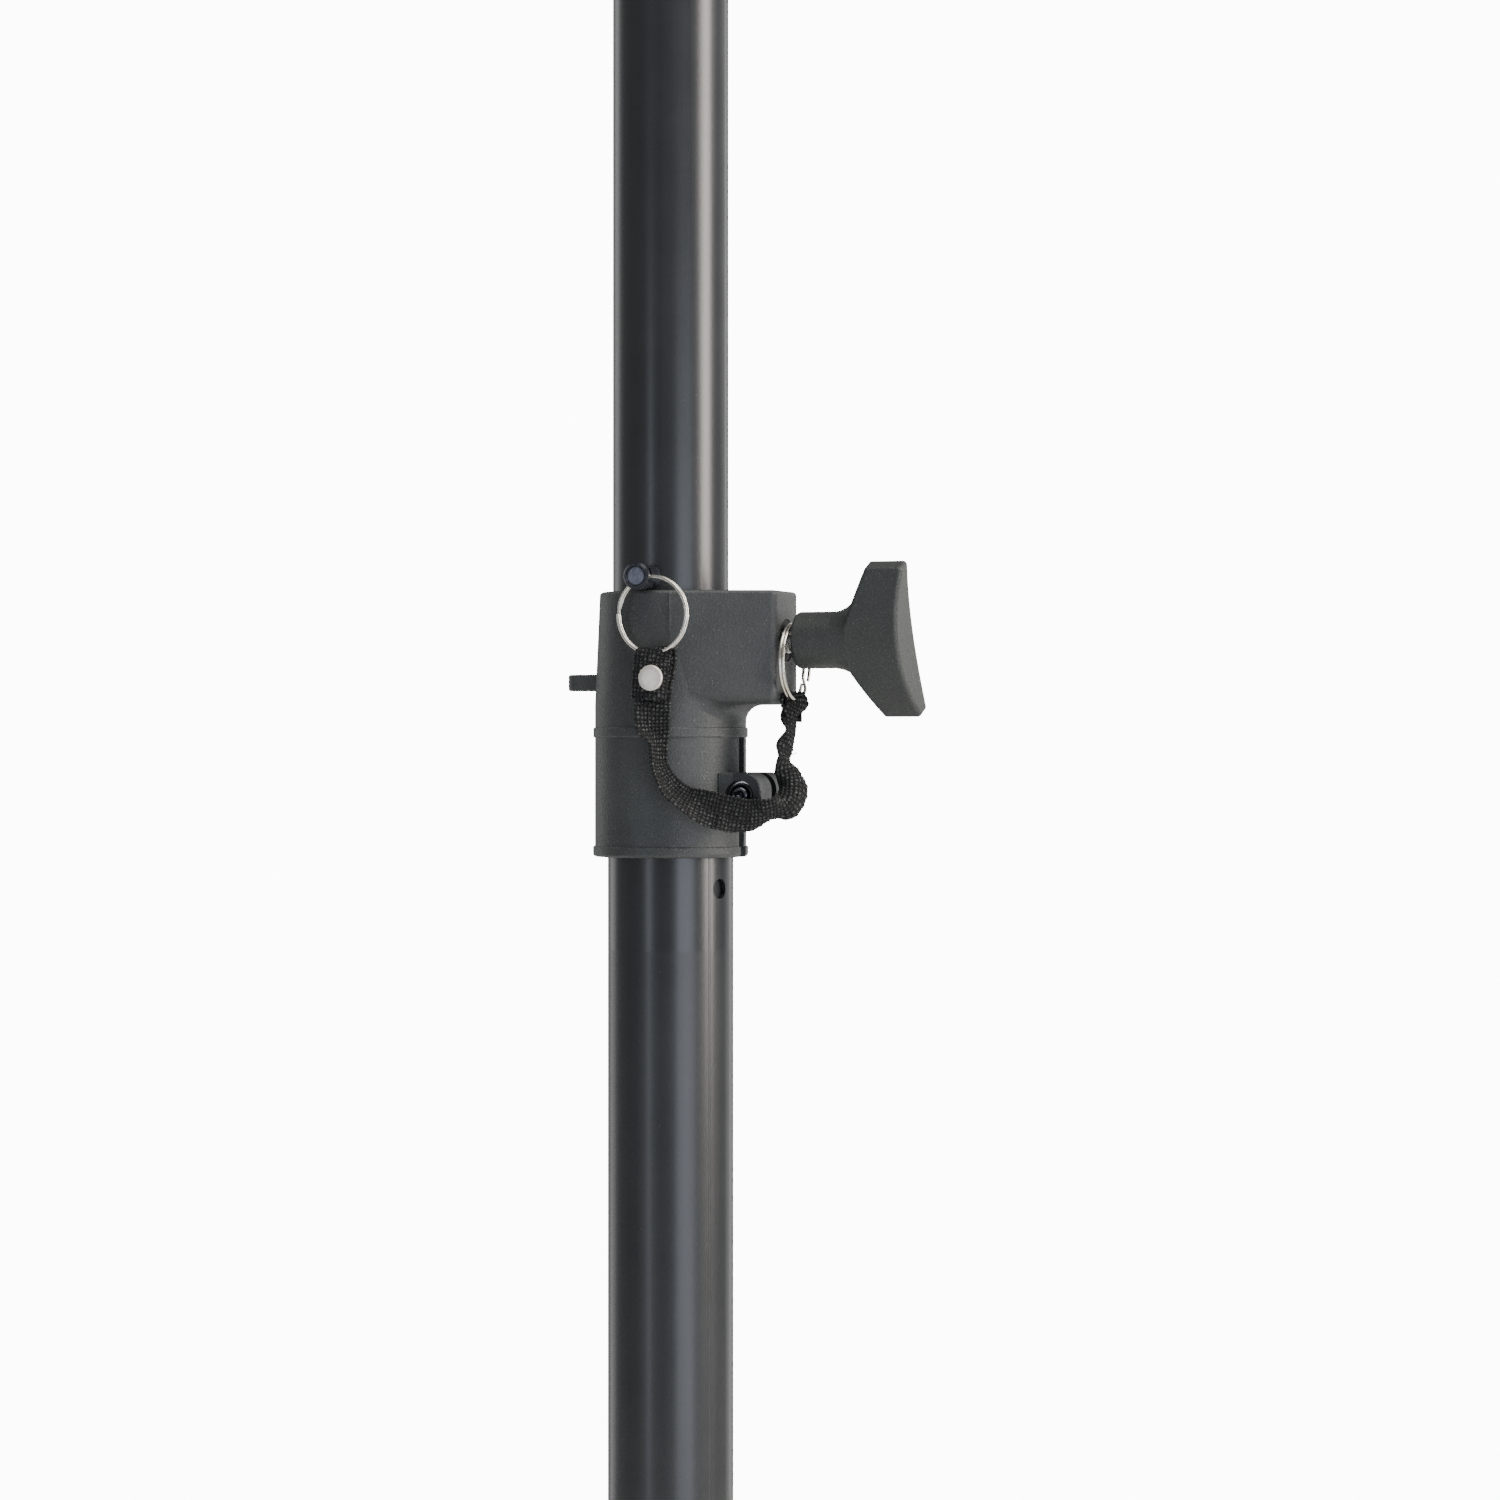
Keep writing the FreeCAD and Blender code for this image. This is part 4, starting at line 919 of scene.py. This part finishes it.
# Each piece with its finish, its slot, the body it rides on and the nodes that it stands for. The
# webbing rides on no one body.
PIECES = [
    (lanyard_pin_end, webbing_finish, "webbing", None, ("lanyard_loop",)),
    (lanyard_knob_end, webbing_finish, "webbing", None, ("lanyard_tail",)),
    (pin_split_ring, nickel, "nickel", "pin", ("pin_ring",)),
    (knob_split_ring, nickel, "nickel", "clamp", ("knob_ring",)),
    (rivet_front, satin_nickel, "nickel", "pin", ("lanyard_rivet",)),
    (rivet_cap, satin_nickel, "nickel", "pin", ("lanyard_rivet_back",)),
    (stud_thread, zinc, "zinc_steel", "clamp", ("base_stud",)),
    (screw_thread, zinc, "zinc_steel", "knob", ("knob_screw",)),
    (clamp_screw, bolt_steel, "black_steel", "clamp", ("clamp_bolt",)),
]
for piece, finish, slot, body, nodes in PIECES:
    piece.data.materials.append(finish)
    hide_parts(*nodes)
    if body:
        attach(piece, body)

junction_place = strip.at(junction)[0]
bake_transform(lanyard_pin_end)
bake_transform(lanyard_knob_end)

# ---------------------------------------------------------------- floor and light

FLOOR_RADIUS = 0.9
FLOOR_GAP = 0.5 * MM  # between the floor and the stud's tip
AIM_HEIGHT = 0.04  # above the clamp's lower rim

floor_place = (0, 0, cad_box[0][2] - FLOOR_GAP)
bpy.ops.mesh.primitive_circle_add(
    vertices=128, radius=FLOOR_RADIUS, fill_type="NGON", location=floor_place
)
floor = bpy.context.object
floor.name = "floor"
floor.data.materials.append(washed_floor("floor"))


def softbox(name, turn, distance, height, width, tall, power, colour):
    """A panel light, turned about the clamp by an angle right of the camera, in degrees."""
    light = bpy.data.lights.new(name, "AREA")
    light.shape = "RECTANGLE"
    light.size = width
    light.size_y = tall
    light.energy = power
    light.color = colour
    item = shown(name, light)
    away = NEAR * math.cos(math.radians(turn)) + RIGHT * math.sin(math.radians(turn))
    item.location = away * distance + UP * (CLAMP + height)
    aim = UP * (CLAMP + AIM_HEIGHT) - item.location
    item.rotation_euler = aim.to_track_quat("-Z", "Y").to_euler()
    item.visible_camera = False


softbox("right_panel", 75, 1.2, 0.50, 0.46, 1.3, 26.0, (1.0, 0.94, 0.87))
softbox("front_panel", 28, 1.8, -0.35, 1.05, 1.25, 14.0, (0.80, 0.87, 1.0))
softbox("left_strip", -39, 1.6, -0.2, 0.22, 1.0, 2.6, (0.80, 0.87, 1.0))
softbox("top_panel", 20, 0.6, 1.3, 0.9, 0.9, 13.0, (1.0, 0.99, 0.97))
softbox("right_rim", 140, 1.3, 0.1, 0.5, 1.8, 4.0, (1.0, 0.99, 0.97))
softbox("left_rim", -132, 1.3, 0.1, 0.5, 1.8, 3.5, (1.0, 0.99, 0.98))

SURROUND_STRENGTH = 0.30  # what lights the pole from all sides
BACKDROP_STRENGTH = 12.0  # what the camera sees behind it

world = bpy.data.worlds.new("studio")
world.use_nodes = True
bpy.context.scene.world = world
nodes, links = world.node_tree.nodes, world.node_tree.links
surround = nodes["Background"]
surround.inputs["Color"].default_value = (0.95, 0.97, 1.0, 1)
surround.inputs["Strength"].default_value = SURROUND_STRENGTH
backdrop = nodes.new("ShaderNodeBackground")
backdrop.inputs["Color"].default_value = (1, 1, 1, 1)
backdrop.inputs["Strength"].default_value = BACKDROP_STRENGTH
seen = nodes.new("ShaderNodeLightPath")
either = nodes.new("ShaderNodeMixShader")
links.new(seen.outputs["Is Camera Ray"], either.inputs[0])
links.new(surround.outputs[0], either.inputs[1])
links.new(backdrop.outputs[0], either.inputs[2])
links.new(either.outputs[0], nodes["World Output"].inputs["Surface"])
